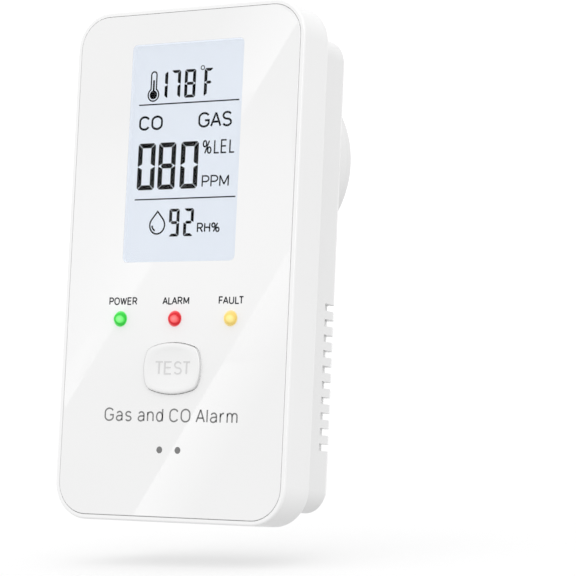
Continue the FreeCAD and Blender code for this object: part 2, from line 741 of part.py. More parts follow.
def display_frame():
    """A tube round the glass and backlight, with ribs that carry the backlight."""
    slack = 0.1
    inner = LCD_HALF + slack
    outer = inner + S.frame_wall
    low, high = LCD_LOW - slack, LCD_HIGH + slack
    tube = box("lcd_frame_outside", (-outer, outer), (WALL_INSIDE + CLEAR, S.board_front),
               (low - S.frame_wall, high + S.frame_wall))
    through = (WALL_INSIDE - OVER, S.board_front + OVER)
    hollow = box("lcd_frame_inside", (-inner, inner), through, (low, high))
    ribs = [box("lcd_frame_rib", (-inner, inner), (LIGHT_REAR, S.board_front), (z, z + S.frame_rib))
            for z in (LCD_LOW + 6, LCD_LOW + 22, LCD_LOW + 38)]
    finished("lcd_frame", fuse("lcd_frame", [cut("lcd_frame_tube", tube, [hollow])] + ribs))


def pin(name, x, z, y, half=LEAD_HALF):
    return box(name, (as_size(x) - half, as_size(x) + half), y, (as_size(z) - half, as_size(z) + half))


def led(name, x, base):
    """A domed stem with a flange at its foot."""
    flange_width, flange_thickness = 0.4, 1.0
    dome = S.led_front + S.led_radius
    stem = rod(name + "_stem", x, (dome, base + flange_thickness), S.led_height, S.led_radius)
    ball = DOCUMENT.addObject("Part::Sphere", name + "_dome")
    bind(ball, "Radius", S.led_radius)
    place(ball, x, dome, S.led_height)
    rim = (base, base + flange_thickness)
    flange = rod(name + "_flange", x, rim, S.led_height, S.led_radius + flange_width)
    finished(name, fuse(name, [stem, ball, flange]))


def led_parts():
    base = WALL_INSIDE + 0.1
    foot = base + 1.0
    spacer_outer, spacer_inner = 2.0, 1.3
    leads, spacers = [], []
    for name, side in LED_PLACES.items():
        x = side * S.led_x
        led(name, x, base)
        tube = (foot, S.board_front)
        spacers.append(ring("led_spacer", x, tube, S.led_height, spacer_outer, spacer_inner))
        lead = (foot, BOARD_REAR + LEAD_TAIL)
        leads += [pin("led_lead", x + offset, S.led_height, lead) for offset in (-LED_LEAD_X, LED_LEAD_X)]
    finished("led_spacers", group("led_spacers", spacers))
    finished("led_leads", group("led_leads", leads))


def test_button():
    """A hollow cap with a flange behind the front wall and a stem that meets the switch."""
    flange_front = WALL_INSIDE + CLEAR
    flange_rear = flange_front + S.button_flange
    cap = button_block("test_button_cap", (S.button_front, flange_rear), as_size(0))
    dress(cap, "Fillet", edges_at(cap.Shape, S.button_front.value), Radius=S.button_round)
    half_width = S.button_width / 2 + S.button_flange
    half_height = S.button_tall / 2 + S.button_flange
    flange = box("button_flange", (-half_width, half_width), (flange_front, flange_rear),
                 (S.button_height - half_height, S.button_height + half_height))
    inner_width = S.button_width / 2 - S.button_side - S.button_wall
    inner_height = S.button_tall / 2 - S.button_arch - S.button_wall / 2
    depth = (S.button_front + S.button_wall, flange_rear + OVER)
    hollow = box("button_hollow", (-inner_width, inner_width), depth,
                 (S.button_height - inner_height, S.button_height + inner_height))
    reach = (S.button_front + OVER, PLUNGER_TIP - CLEAR)
    stem = rod("button_stem", 0, reach, S.button_height, S.stem_radius)
    shell = cut("button_shell", fuse("button_solid", [cap, flange]), [hollow])
    finished("test_button", fuse("test_button", [shell, stem]))


def switch_parts():
    cover, bore_radius = 0.25, 1.8
    top = S.board_front - S.switch_height
    x = (-S.switch_half, S.switch_half)
    z = (S.button_height - S.switch_half, S.button_height + S.switch_half)
    body = box("switch_block", x, (top + cover, S.board_front), z)
    bore = rod("switch_bore", 0, (top, S.board_front - 1.0), S.button_height, bore_radius)
    finished("switch_body", cut("switch_body", body, [bore]))
    plate = box("switch_plate", x, (top, top + cover), z)
    hole = rod("switch_plate_hole", 0, (top - OVER, top + OVER), S.button_height, bore_radius)
    finished("switch_cover", cut("switch_cover", plate, [hole]))
    reach = (PLUNGER_TIP, S.board_front - 1.7)
    finished("switch_plunger", rod("switch_plunger", 0, reach, S.button_height, S.plunger_radius))


# ---- main board ----


def main_board():
    y = (S.board_front, BOARD_REAR)
    inset, notch = 2.1, 3.5
    wide = box("board_wide", (-S.board_half, S.board_half), y, (S.screw_low + notch, S.screw_high - notch))
    neck = box("board_neck", (-S.board_neck, S.board_neck), y, (S.back_bottom + inset, S.back_top - inset))
    reach = (S.board_front - OVER, BOARD_REAR + OVER)
    holes = [rod("board_hole", x, reach, z, 1.2) for x, z in BOARD_SCREWS]
    holes += [pin("lcd_pad", x, LCD_PIN_HEIGHT, reach, LEAD_HOLE) for x in LCD_PIN_X]
    holes += [pin("header_pad", x, HEADER_HEIGHT, reach, HEADER_HALF + 0.1) for x in HEADER_PIN_X]
    for side in LED_PLACES.values():
        for offset in (-LED_LEAD_X, LED_LEAD_X):
            holes.append(pin("led_pad", side * S.led_x + offset, S.led_height, reach, LEAD_HOLE))
    finished("main_board", cut("main_board", fuse("board_outline", [wide, neck]), holes))


def screw(name, x, z, seat, tip, head_radius, shank):
    """A pan-head screw whose head stands behind the seat, with a cross recess."""
    head = rod(name + "_head", x, (seat, seat + head_radius * 0.75), z, head_radius)
    head = rounded(name + "_dome", head, lambda e: e.BoundBox.YMin > seat.value + 0.5, head_radius * 0.3)
    body = fuse(name + "_blank", [head, rod(name + "_shank", x, (tip, seat), z, shank)])
    deep = (seat + head_radius * 0.3, seat + head_radius)
    arm, slot = head_radius * 0.55, head_radius * 0.13
    across = box(name + "_slot", (x - arm, x + arm), deep, (z - slot, z + slot))
    upright = box(name + "_slot", (x - slot, x + slot), deep, (z - arm, z + arm))
    return cut(name, body, [across, upright])


def power_screw(x, z):
    """A slotted screw driven from the front into a standoff of the rear shell."""
    head_radius, head_height, length = 1.75, 1.2, 2.4
    arm, slot, slot_depth = 1.2, 0.2, 0.5
    top = S.power_front - head_height
    head = rod("power_head", x, (top, S.power_front), z, head_radius)
    shank = rod("power_shank", x, (S.power_front, POWER_REAR + length), z, S.power_shank)
    recess = box("power_slot", (x - arm, x + arm), (top - OVER, top + slot_depth), (z - slot, z + slot))
    return cut("power_screw", fuse("power_blank", [head, shank]), [recess])


def fasteners():
    case = [screw("case_screw", x, z, S.well_floor, S.well_floor - 10, 2.0, S.shank_radius)
            for x, z in SCREW_PLACES]
    finished("case_screws", group("case_screws", case))
    board = [screw("board_screw", x, z, BOARD_REAR, S.board_front - 3.6, 1.9, S.board_shank)
             for x, z in BOARD_SCREWS]
    finished("board_screws", group("board_screws", board))
    power = [power_screw(x, z) for x, z in POWER_SCREWS]
    finished("power_board_screws", group("power_board_screws", power))


def screw_plugs():
    edge_round = 0.2
    outer = S.back_face - CLEAR
    inside = outer.value - 0.01
    plugs = []
    for x, z in SCREW_PLACES:
        disc = rod("screw_plug", x, (outer - S.plug_thickness, outer), z, S.plug_radius)
        plugs.append(rounded("screw_plug_rounded", disc, lambda e: e.BoundBox.YMin > inside, edge_round))
    finished("screw_plugs", group("screw_plugs", plugs))


def buzzer_parts():
    top = WALL_INSIDE + S.gasket_thickness
    can = rod("buzzer_can", 0, (top, S.board_front), S.sound_height, S.buzzer_radius)
    port = rod("buzzer_port", 0, (top - OVER, top + 1.2), S.sound_height, 1.1)
    finished("buzzer", cut("buzzer", can, [port]))
    finished("buzzer_gasket", ring("buzzer_gasket", 0, (WALL_INSIDE, top), S.sound_height, 5.8, 3.2))


def gas_sensor():
    """A round base with a domed mesh cap over it."""
    x, z = GAS_PLACE
    shoulder, wall, cap_round = 2.8, 0.4, 1.2
    step = SENSOR_FOOT + shoulder
    top = SENSOR_FOOT + S.gas_height
    finished("gas_sensor_base", rod("gas_sensor_base", x, (SENSOR_FOOT, step), z, S.gas_base))
    cap = rod("gas_cap", x, (step, top), z, S.gas_cap)
    cap = rounded("gas_cap_rounded", cap, lambda e: e.BoundBox.YMin > top.value - 0.1, cap_round)
    hollow = rod("gas_cap_inside", x, (step - wall, top - wall), z, S.gas_cap - wall)
    finished("gas_sensor_cap", cut("gas_sensor_cap", cap, [hollow]))


def monoxide_sensor():
    x, z = MONOXIDE_PLACE
    port_radius, port_depth, can_round = 1.2, 0.6, 0.8
    top = SENSOR_FOOT + S.monoxide_height
    can = rod("co_can", x, (SENSOR_FOOT, top), z, S.monoxide_radius)
    can = rounded("co_can_rounded", can, lambda e: e.BoundBox.YMin > top.value - 0.1, can_round)
    port = rod("co_port", x, (top - port_depth, top + OVER), z, port_radius)
    finished("co_sensor", cut("co_sensor", can, [port]))


def sensor_pins():
    pin_radius = 0.5
    pins = []
    for (x, z), circle in ((GAS_PLACE, 5.0), (MONOXIDE_PLACE, 4.0)):
        for angle in (30, 150, 210, 330):
            px = x + circle * math.cos(math.radians(angle))
            pz = z + circle * math.sin(math.radians(angle))
            pins.append(rod("sensor_pin", px, (BOARD_REAR, SENSOR_FOOT), pz, pin_radius))
    finished("sensor_pins", group("sensor_pins", pins))


def surface_parts():
    """The humidity sensor, the microcontroller and two rows of small chips."""
    half, thickness, centre = 2.5, 1.6, -67.7
    top = BOARD_REAR + thickness
    package = box("humidity_package", (-half, half), (BOARD_REAR, top), (centre - half, centre + half))
    window = rod("humidity_window", 0, (top - thickness / 3, top + OVER), centre, 1.1)
    finished("humidity_sensor", cut("humidity_sensor", package, [window]))
    chip = box("microcontroller", (-4, 4), (BOARD_REAR + 0.1, BOARD_REAR + 1.5), (-33.4, -25.4))
    finished("microcontroller", chip)
    columns, rows, long, short, tall = 6, 2, 1.6, 0.8, 0.6
    chips = []
    for column in range(columns):
        for row in range(rows):
            x, z = 5.2 * column - 14.6, 2.6 * row - 61.6
            chips.append(box("chip", (x, x + long), (BOARD_REAR, BOARD_REAR + tall), (z, z + short)))
    finished("chip_parts", group("chip_parts", chips))


def header_parts():
    block_height, block_half = 2.5, 1.25
    x = (HEADER_PIN_X[0] - HEADER_PITCH / 2, HEADER_PIN_X[-1] + HEADER_PITCH / 2)
    z = (HEADER_HEIGHT - block_half, HEADER_HEIGHT + block_half)
    block = box("header_block", x, (BOARD_REAR, BOARD_REAR + block_height), z)
    through = (BOARD_REAR - OVER, BOARD_REAR + block_height + OVER)
    holes = [pin("header_hole", px, HEADER_HEIGHT, through, HEADER_HALF) for px in HEADER_PIN_X]
    finished("board_header", cut("board_header", block, holes))
    tail = 0.6
    reach = (S.board_front - tail, POWER_REAR + tail)
    pins = [pin("header_pin", px, HEADER_HEIGHT, reach, HEADER_HALF) for px in HEADER_PIN_X]
    finished("header_pins", group("header_pins", pins))
    sheet = (BOARD_REAR + 0.5, BOARD_REAR + 0.8)
    finished("insulation_sheet", box("insulation", (-15.5, 15.5), sheet, (-19.8, 20.8)))


# ---- power board ----


def power_board():
    y = (S.power_front, POWER_REAR)
    board = box("power_outline", (-S.power_half, S.power_half), y, (S.power_bottom, S.power_top))
    reach = (S.power_front - OVER, POWER_REAR + OVER)
    holes = [rod("power_hole", x, reach, z, 1.0) for x, z in POWER_SCREWS]
    holes += [pin("power_pad", x, HEADER_HEIGHT, reach, HEADER_HALF + 0.1) for x in HEADER_PIN_X]
    finished("power_board", cut("power_board", board, holes))


def above(high, low=0.0):
    """A stretch of Y in front of the power board, between two heights above it."""
    return (S.power_front - high, S.power_front - low)


def transformer():
    """A core of two E halves round a bobbin that carries two coils' sides."""
    base, spool_top, core_top = 0.8, 6.3, 7.8
    opening = above(6.4, 2.2)
    core = box("core_block", (-6.5, 6.5), above(core_top, base), (-12.0, -3.0))
    window = box("core_window", (-4.6, 4.6), opening, (-14.0, -1.0))
    leg = box("core_leg", (-1.6, 1.6), opening, (-12.0, -3.0))
    finished("transformer_core", fuse("transformer_core", [cut("core_frame", core, [window]), leg]))
    spool = [box("spool_base", (-6.5, 6.5), above(base), (-14.4, -0.6))]
    end = above(spool_top, base)
    spool += [box("spool_end", (-4.5, 4.5), end, z) for z in ((-14.4, -13.0), (-2.0, -0.6))]
    spool.append(box("spool_hub", (-2.3, 2.3), above(spool_top, 2.3), (-13.5, -1.5)))
    hole = box("spool_opening", (-1.7, 1.7), above(6.5, 2.1), (-15.0, 0.0))
    finished("transformer_bobbin", cut("transformer_bobbin", fuse("spool", spool), [hole]))
    winding = [box("winding", x, above(6.2, 2.4), (-12.9, -2.1)) for x in ((-4.4, -2.35), (2.35, 4.4))]
    finished("transformer_winding", group("transformer_winding", winding))


def capacitor(name, x, z, radius):
    """An electrolytic can that lies on the power board, with its rolled groove."""
    edge_round, groove_depth = 0.5, 0.35
    centre = S.power_front - radius - 0.1
    can = rod(name + "_can", x, centre, z, radius)
    can = rounded(name + "_rolled", can, lambda e: e.BoundBox.ZLength < 0.01, edge_round)
    stretch = (z[1] - 2.2, z[1] - 1.6)
    groove = ring(name + "_groove", x, centre, stretch, radius + OVER, radius - groove_depth)
    finished(name, cut(name, can, [groove]))


def film_capacitor():
    block = box("film_block", (-6.5, 6.0), above(7.5), (8.5, 13.5))
    front = S.power_front.value - 0.1
    finished("film_capacitor", rounded("film_capacitor", block, lambda e: e.BoundBox.YMax < front, 0.5))


def bridge_rectifier():
    block = box("bridge_block", (9.0, 15.0), above(2.6, 0.3), (5.5, 12.0))
    feet = [box("bridge_foot", x, above(1.0), z)
            for x in ((9.6, 10.8), (13.2, 14.4)) for z in ((4.6, 5.5), (12.0, 12.9))]
    finished("bridge_rectifier", fuse("bridge_rectifier", [block] + feet))


def fuse_resistor():
    height, radius, lead_half = 17.4, 1.6, 0.3
    tube = rod("fuse_tube", (-4.0, 5.0), S.power_front - 2.0, height, radius)
    wires = [box("fuse_lead", x, above(2.3), (height - lead_half, height + lead_half))
             for x in ((-5.4, -4.0), (5.0, 6.4))]
    finished("fuse_resistor", fuse("fuse_resistor", [tube] + wires))


def inductor():
    x, z, flange, core = -11.4, 2.2, 3.2, 2.4
    drum = [rod("drum_end", x, y, z, flange) for y in (above(6.8, 5.8), above(1.0))]
    drum.append(rod("drum_core", x, above(6.0, 0.8), z, core))
    finished("inductor", fuse("inductor", drum))


def varistor():
    disc = rod("varistor_disc", -11.8, S.power_front - 4.2, (8.6, 11.6), 3.6)
    leads = [box("varistor_lead", x, above(1.4), (9.8, 10.3)) for x in ((-14.0, -13.5), (-10.1, -9.6))]
    finished("varistor", fuse("varistor", [disc] + leads))


def power_parts():
    transformer()
    capacitor("input_capacitor", 11.3, (-16.0, -3.0), 4.0)
    capacitor("output_capacitor", -11.4, (-16.5, -7.5), 3.2)
    film_capacitor()
    bridge_rectifier()
    fuse_resistor()
    inductor()
    varistor()


def contact_springs():
    """Bent strips from the power board to the pads of the plug head."""
    strip, foot_end, heel, leaf_end = 0.3, -9.0, -3.2, 1.4
    tip_x, tip_radius = 9.5, 0.9
    rear = S.spigot_end - 0.35
    springs = []
    for side in (-1, 1):
        x = (side * tip_x - 1.4, side * tip_x + 1.4)
        foot = box("spring_foot", x, (POWER_REAR, POWER_REAR + strip), (foot_end, heel + strip))
        leg = box("spring_leg", x, (POWER_REAR, rear), (heel, heel + strip))
        leaf = box("spring_leaf", x, (rear - strip, rear), (heel, leaf_end))
        tip = rod("spring_tip", side * tip_x, (rear - CLEAR, S.spigot_end - 0.06), 0, tip_radius)
        springs.append(fuse("contact_spring", [foot, leg, leaf, tip]))
    finished("contact_springs", group("contact_springs", springs))


# ---- turning plug head ----

def blade_space(name, side, y, gap):
    half = S.blade_thickness / 2 + gap
    centre = side * S.blade_x
    return box(name, (centre - half, centre + half), y, (BLADE_LOW - gap, BLADE_HIGH + gap))


def head_blank():
    """The flange, its recess and the hollow spigot, turned about Y."""
    body = new_body("plug_head_turned")
    sketch = sketch_on(body, "XY_Plane", 0)
    floor = -S.recess_depth
    bore, closed_end = S.spigot_radius - S.spigot_wall, S.spigot_end + S.spigot_wall
    profile = [(0, S.spigot_end), (S.spigot_radius, S.spigot_end), (S.spigot_radius, S.head_front),
               (S.head_radius, S.head_front), (S.head_radius, 0), (S.head_recess, 0),
               (S.head_recess, floor), (bore, floor), (bore, closed_end), (0, closed_end)]
    draw_polygon(sketch, profile)
    turned = body.newObject("PartDesign::Revolution", "plug_head_revolution")
    turned.Profile = sketch
    turned.ReferenceAxis = (sketch, ["V_Axis"])
    DOCUMENT.recompute()

    def at_rim(bounds):
        return bounds.XLength > 2 * S.head_radius.value - 0.1

    dress(body, "Fillet", edges_at(body.Shape, 0, at_rim), Radius=S.head_round)
    return body


def bayonet_lug(number, centre):
    reach = (S.lug_front, S.lug_rear)
    wedge = sector("lug", reach, S.lug_radius, centre - LUG_SWEEP / 2, LUG_SWEEP)
    return common("lug_%d" % number, wedge, ring("lug_ring", 0, reach, 0, S.lug_radius, S.spigot_radius - 1))


def latch_groove():
    """The arc under the flange that the latch pin stands in while the head turns."""
    level = (S.head_front - OVER, S.head_front + 1.0)
    first = S.latch_angle.value - S.twist.value - LATCH_MARGIN
    wedge = sector("latch_groove_sector", level, S.head_radius, first, S.twist.value + 2 * LATCH_MARGIN)
    outer = S.pin_centre + S.pin_radius + S.latch_gap
    inner = S.pin_centre - S.latch_travel - S.pin_radius - 0.2
    return common("latch_groove", wedge, ring("latch_groove_ring", 0, level, 0, outer, inner))


def plug_head():
    holder_wall = 1.4
    lugs = [bayonet_lug(number, centre) for number, centre in enumerate(LUG_CENTRES)]
    holders = [blade_space("blade_holder", side, (S.spigot_end + 1, -S.recess_depth), holder_wall)
               for side in (-1, 1)]
    solid = fuse("plug_head_solid", [head_blank()] + lugs + holders)
    holes = [blade_space("head_slot", side, (S.spigot_end - OVER, OVER), 0) for side in (-1, 1)]
    holes += [pad_block("pad_recess", side) for side in (-1, 1)]
    finished("plug_head", cut("plug_head", solid, holes + [latch_groove()]))


def pad_block(name, side):
    low, high = sorted([side * 5.0, side * 11.6])
    return box(name, (low, high), (S.spigot_end, S.blade_inner), (-2.6, S.blade_height + 3.2))


def plug_face():
    disc = rod("plug_face_disc", 0, (-S.recess_depth, S.face_level), 0, S.face_radius)
    disc = rounded("plug_face_rounded", disc, lambda e: e.BoundBox.YMin > S.face_level.value - 0.01, 0.3)
    slots = [blade_space("face_slot", side, (-3, 1), 0.12) for side in (-1, 1)]
    finished("plug_face", cut("plug_face", disc, slots))


def blade(label, side):
    """A flat blade with a bevelled tip and a detent hole near its end."""
    body = new_body(label + "_strip")
    sketch = sketch_on(body, "YZ_Plane", side * S.blade_x - S.blade_thickness / 2)
    tip = S.blade_length
    cant, bevel = 1.1, as_size(0.45)
    outline = [(S.blade_inner, BLADE_LOW), (tip - cant, BLADE_LOW), (tip, BLADE_LOW + cant),
               (tip, BLADE_HIGH - cant), (tip - cant, BLADE_HIGH), (S.blade_inner, BLADE_HIGH)]
    draw_polygon(sketch, outline)
    draw_circle(sketch, S.blade_hole_y, S.blade_height, S.blade_hole_radius)
    extruded(body, "Pad", sketch, S.blade_thickness)
    beyond = (tip - 0.01).value
    ends = ["Edge%d" % n for n, e in enumerate(body.Shape.Edges, start=1)
            if e.BoundBox.YMin > beyond and e.BoundBox.XLength < 0.01]
    dress(body, "Chamfer", ends, Size=bevel, Size2=bevel)
    finished(label, body)


def plug_parts():
    plug_head()
    plug_face()
    blade("blade_left", 1)
    blade("blade_right", -1)
    finished("contact_pads", group("contact_pads", [pad_block("contact_pad", side) for side in (-1, 1)]))


# ---- latch, drawn along X and turned to its place round the boss ----


def latch_turn():
    return FreeCAD.Placement(FreeCAD.Vector(), FreeCAD.Rotation(AXIS_Y, S.latch_angle.value))


def latch_button():
    """A block with rounded ends, a finger groove, a hole for the pin and one for each spring."""
    inner, outer = S.latch_inner.value + 0.1, S.latch_outer.value - 2.4
    end_round, face_round = 1.7, 0.6
    groove_half, groove_reach, groove_depth = 0.6, 2.6, 0.8
    block = box("latch_block", (S.latch_inner, S.latch_outer), (S.latch_low, S.latch_high),
                (-S.latch_half, S.latch_half))
    block = rounded("latch_rounded_ends", block,
                    lambda e: e.BoundBox.YLength > 1 and e.BoundBox.XMin > inner, end_round)
    block = rounded("latch_rounded", block, lambda e: e.BoundBox.XMin > outer, face_round)
    x = (S.latch_outer - groove_depth, S.latch_outer + OVER)
    y = (LATCH_MIDDLE - groove_half, LATCH_MIDDLE + groove_half)
    holes = [box("latch_groove", x, y, (-groove_reach, groove_reach))]
    holes += [rod("latch_groove_end", x, LATCH_MIDDLE, z, groove_half)
              for z in (-groove_reach, groove_reach)]
    holes += [rod("spring_hole", (S.latch_inner - OVER, S.latch_inner + 2.0), LATCH_MIDDLE, z, S.spring_bore)
              for z in (-S.spring_side, S.spring_side)]
    pin_foot = (LATCH_MIDDLE - S.pin_radius, S.latch_high + OVER)
    holes.append(rod("pin_hole", S.pin_centre, pin_foot, 0, S.pin_radius))
    button = cut("latch_button", block, holes)
    button.Placement = latch_turn()
    finished("latch_button", button)


def latch_pin():
    reach = (LATCH_MIDDLE - S.pin_radius, S.head_front + 0.75)
    held = group("latch_pin", [rod("latch_pin_rod", S.pin_centre, reach, 0, S.pin_radius)])
    held.Placement = latch_turn()
    finished("latch_pin", held)


def latch_springs():
    springs = group("latch_springs", [coil_spring(z) for z in (-S.spring_side, S.spring_side)])
    springs.Placement = latch_turn()
    finished("latch_springs", springs)


def coil_spring(z):
    """A small compression spring along X."""
    wire = S.spring_wire
    start, end = LATCH_POCKET + wire, S.latch_inner + 2.0 - wire
    spine = DOCUMENT.addObject("Part::Helix", "spring_line")
    bind(spine, "Height", end - start)
    bind(spine, "Pitch", (end - start) / SPRING_TURNS)
    bind(spine, "Radius", S.spring_coil)
    section = DOCUMENT.addObject("Part::Circle", "spring_wire")
    bind(section, "Radius", wire)
    centre = FreeCAD.Vector(S.spring_coil.value, 0, 0)
    section.Placement = FreeCAD.Placement(centre, FreeCAD.Rotation(AXIS_X, 90))
    sweep = DOCUMENT.addObject("Part::Sweep", "latch_spring")
    sweep.Sections = [section]
    sweep.Spine = (spine, [])
    sweep.Solid = True
    sweep.Frenet = True
    place(sweep, start, LATCH_MIDDLE, z, ALONG_X)
    return sweep


# ---- assembly, checks and files ----


def build():
    front_shell()
    front_panel()
    display_lens()
    display_parts()
    display_frame()
    led_parts()
    test_button()
    switch_parts()
    main_board()
    fasteners()
    screw_plugs()
    buzzer_parts()
    gas_sensor()
    monoxide_sensor()
    sensor_pins()
    surface_parts()
    header_parts()
    power_board()
    power_parts()
    contact_springs()
    rear_shell()
    plug_parts()
    latch_button()
    latch_pin()
    latch_springs()
    DOCUMENT.recompute()


def check():
    for item in DOCUMENT.Objects:
        if "Invalid" in item.State or "Error" in item.State:
            raise RuntimeError("%s failed: %s" % (item.Label, item.State))
    for item in SUB_PARTS:
        if item.Shape.isNull() or not item.Shape.isValid():
            raise RuntimeError(item.Label + " has no valid shape")
        if not item.Shape.Solids:
            raise RuntimeError(item.Label + " has no solid")


def write():
    os.makedirs("parts", exist_ok=True)
    for item in SUB_PARTS:
        item.Shape.exportStep("parts/" + item.Label + ".step")
        bounds = item.Shape.BoundBox
        print("%-22s %2d solids %9.2f mm3  x %6.2f %6.2f  y %6.2f %6.2f  z %6.2f %6.2f" % (
            item.Label, len(item.Shape.Solids), item.Shape.Volume,
            bounds.XMin, bounds.XMax, bounds.YMin, bounds.YMax, bounds.ZMin, bounds.ZMax))


build()
check()
write()
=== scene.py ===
import json
import math

import bmesh
import bpy
from mathutils import Matrix, Vector


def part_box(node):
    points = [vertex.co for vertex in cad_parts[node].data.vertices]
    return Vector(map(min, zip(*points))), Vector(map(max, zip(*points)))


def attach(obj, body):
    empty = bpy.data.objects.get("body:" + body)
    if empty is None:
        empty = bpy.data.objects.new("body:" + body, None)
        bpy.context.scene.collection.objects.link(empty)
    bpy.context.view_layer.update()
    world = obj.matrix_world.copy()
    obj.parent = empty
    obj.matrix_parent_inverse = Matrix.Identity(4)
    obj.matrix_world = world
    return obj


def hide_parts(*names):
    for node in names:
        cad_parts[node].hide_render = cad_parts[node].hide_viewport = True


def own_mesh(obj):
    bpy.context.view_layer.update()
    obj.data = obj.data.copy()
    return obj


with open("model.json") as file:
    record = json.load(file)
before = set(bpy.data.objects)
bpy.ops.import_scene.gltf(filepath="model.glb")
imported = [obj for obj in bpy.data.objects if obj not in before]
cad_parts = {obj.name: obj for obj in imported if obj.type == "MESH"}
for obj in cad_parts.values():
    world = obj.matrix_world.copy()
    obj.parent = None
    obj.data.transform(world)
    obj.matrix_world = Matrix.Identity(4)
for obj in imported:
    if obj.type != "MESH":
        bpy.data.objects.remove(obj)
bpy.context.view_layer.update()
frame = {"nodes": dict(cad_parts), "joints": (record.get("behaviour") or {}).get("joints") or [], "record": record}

# A plug-in gas and carbon monoxide alarm. Sizes are millimetres unless a line says otherwise; mm()
# turns them into the frame's metres. X is to the right seen from the front, -Y is the front, Z is up.

MM = 0.001


def corner(node, which, axis):
    """One limit of a CAD node's box in millimetres; which is 0 for the low end and 1 for the high end."""
    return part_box(node)[which][axis] / MM


FRONT = corner("front_panel", 0, 1)
BUTTON_FRONT = corner("test_button", 0, 1)
DISC_REAR = corner("plug_face", 1, 1)
PANEL_BACK = corner("front_panel", 1, 1)
GLASS_FRONT = corner("lcd_glass", 0, 1)
SEGMENT_DEPTH = (GLASS_FRONT - 0.04, GLASS_FRONT - 0.01)
PRINT_DEPTH = (FRONT - 0.02, FRONT + 0.01)


# ---------------------------------------------------------------- numbers and colours

def linear(value):
    """A display tone from 0 to 255 as a linear value."""
    tone = value / 255
    return tone / 12.92 if tone <= 0.04045 else ((tone + 0.055) / 1.055) ** 2.4


def tint(red, green, blue):
    """A colour from display tones from 0 to 255."""
    return (linear(red), linear(green), linear(blue), 1.0)


def grey(value):
    """A grey from one display tone."""
    return tint(value, value, value)


def shade(colour, factor):
    """A colour made darker or lighter by a factor."""
    return tuple(min(1.0, c * factor) for c in colour[:3]) + (1.0,)


def mm(x, y, z):
    """A place given in millimetres, in the frame's metres."""
    return Vector((x, y, z)) * MM


# ---------------------------------------------------------------- materials

class Shader:
    """A material's node tree, with the few links that the finishes below share."""

    def __init__(self, name):
        self.material = bpy.data.materials.new(name)
        self.material.use_nodes = True
        self.tree = self.material.node_tree
        self.surface = self.tree.nodes["Principled BSDF"]
        self.place = self.tree.nodes.new("ShaderNodeTexCoord").outputs["Object"]

    def set(self, **values):
        """Sets the surface's sockets by name, with _ for each space."""
        for name, value in values.items():
            self.surface.inputs[name.replace("_", " ")].default_value = value
        return self

    def node(self, kind, **values):
        """A new node of a kind, with its sockets set by name in the same way."""
        made = self.tree.nodes.new(kind)
        for name, value in values.items():
            made.inputs[name.replace("_", " ")].default_value = value
        return made

    def link(self, source, target):
        self.tree.links.new(source, target)

    def stretched(self, scale):
        """Object coordinates scaled by axis, for brushed or drawn marks."""
        mapping = self.node("ShaderNodeMapping", Scale=scale)
        self.link(self.place, mapping.inputs["Vector"])
        return mapping.outputs["Vector"]

    def noise(self, size, detail, place=None):
        """Noise whose features are about size millimetres across."""
        made = self.node("ShaderNodeTexNoise", Scale=1 / (size * MM), Detail=detail)
        self.link(place or self.place, made.inputs["Vector"])
        return made.outputs["Fac"]

    def spread(self, source, low, high):
        """The source's middle range turned into low to high."""
        made = self.node("ShaderNodeMapRange", From_Min=0.3, From_Max=0.7, To_Min=low, To_Max=high)
        self.link(source, made.inputs["Value"])
        return made.outputs["Result"]

    def ramp(self, source, stops):
        """A colour ramp through (position, colour) stops."""
        made = self.tree.nodes.new("ShaderNodeValToRGB")
        elements = made.color_ramp.elements
        while len(elements) < len(stops):
            elements.new(0.5)
        for element, (position, colour) in zip(elements, stops):
            element.position = position
            element.color = colour
        self.link(source, made.inputs["Fac"])
        return made.outputs["Color"]

    def colours(self, source, first, second, socket="Base Color"):
        """Lets the source vary a colour of the surface between two tones."""
        self.link(self.ramp(source, [(0.35, first), (0.65, second)]), self.surface.inputs[socket])

    def rough(self, source, low, high):
        """Lets the source vary the surface's roughness from low to high."""
        self.link(self.spread(source, low, high), self.surface.inputs["Roughness"])

    def bump(self, source, depth, strength, below=None):
        """A bump whose height is depth millimetres; below is a bump that it lies on."""
        made = self.node("ShaderNodeBump", Strength=strength, Distance=depth * MM)
        self.link(source, made.inputs["Height"])
        if below is not None:
            self.link(below, made.inputs["Normal"])
        self.link(made.outputs["Normal"], self.surface.inputs["Normal"])
        return made.outputs["Normal"]

    def paint_light_and_shade(self, depths):
        """Paints light and shade into the base colour: multiplies it by the share listed for the depth along Y, in
        millimetres.
        """
        parts = self.tree.nodes.new("ShaderNodeSeparateXYZ")
        self.link(self.place, parts.inputs[0])
        first, last = depths[0][0], depths[-1][0]
        along = self.node("ShaderNodeMapRange", From_Min=first * MM, From_Max=last * MM)
        self.link(parts.outputs["Y"], along.inputs["Value"])
        stops = [((y - first) / (last - first), (share, share, share, 1.0)) for y, share in depths]
        product = self.tree.nodes.new("ShaderNodeVectorMath")
        product.operation = "MULTIPLY"
        base = self.surface.inputs["Base Color"]
        self.link(base.links[0].from_socket, product.inputs[0])
        self.link(self.ramp(along.outputs["Result"], stops), product.inputs[1])
        self.link(product.outputs["Vector"], base)

    def from_axis(self, x, z, radius):
        """The distance from an axis along Y at (x, z), as a share of radius."""
        shifted = self.node("ShaderNodeMapping", Location=mm(-x, 0, -z))
        self.link(self.place, shifted.inputs["Vector"])
        flat = self.tree.nodes.new("ShaderNodeVectorMath")
        flat.operation = "MULTIPLY"
        flat.inputs[1].default_value = (1, 0, 1)
        self.link(shifted.outputs["Vector"], flat.inputs[0])
        length = self.tree.nodes.new("ShaderNodeVectorMath")
        length.operation = "LENGTH"
        self.link(flat.outputs["Vector"], length.inputs[0])
        share = self.node("ShaderNodeMapRange", From_Max=radius * MM)
        self.link(length.outputs["Value"], share.inputs["Value"])
        return share.outputs["Result"]


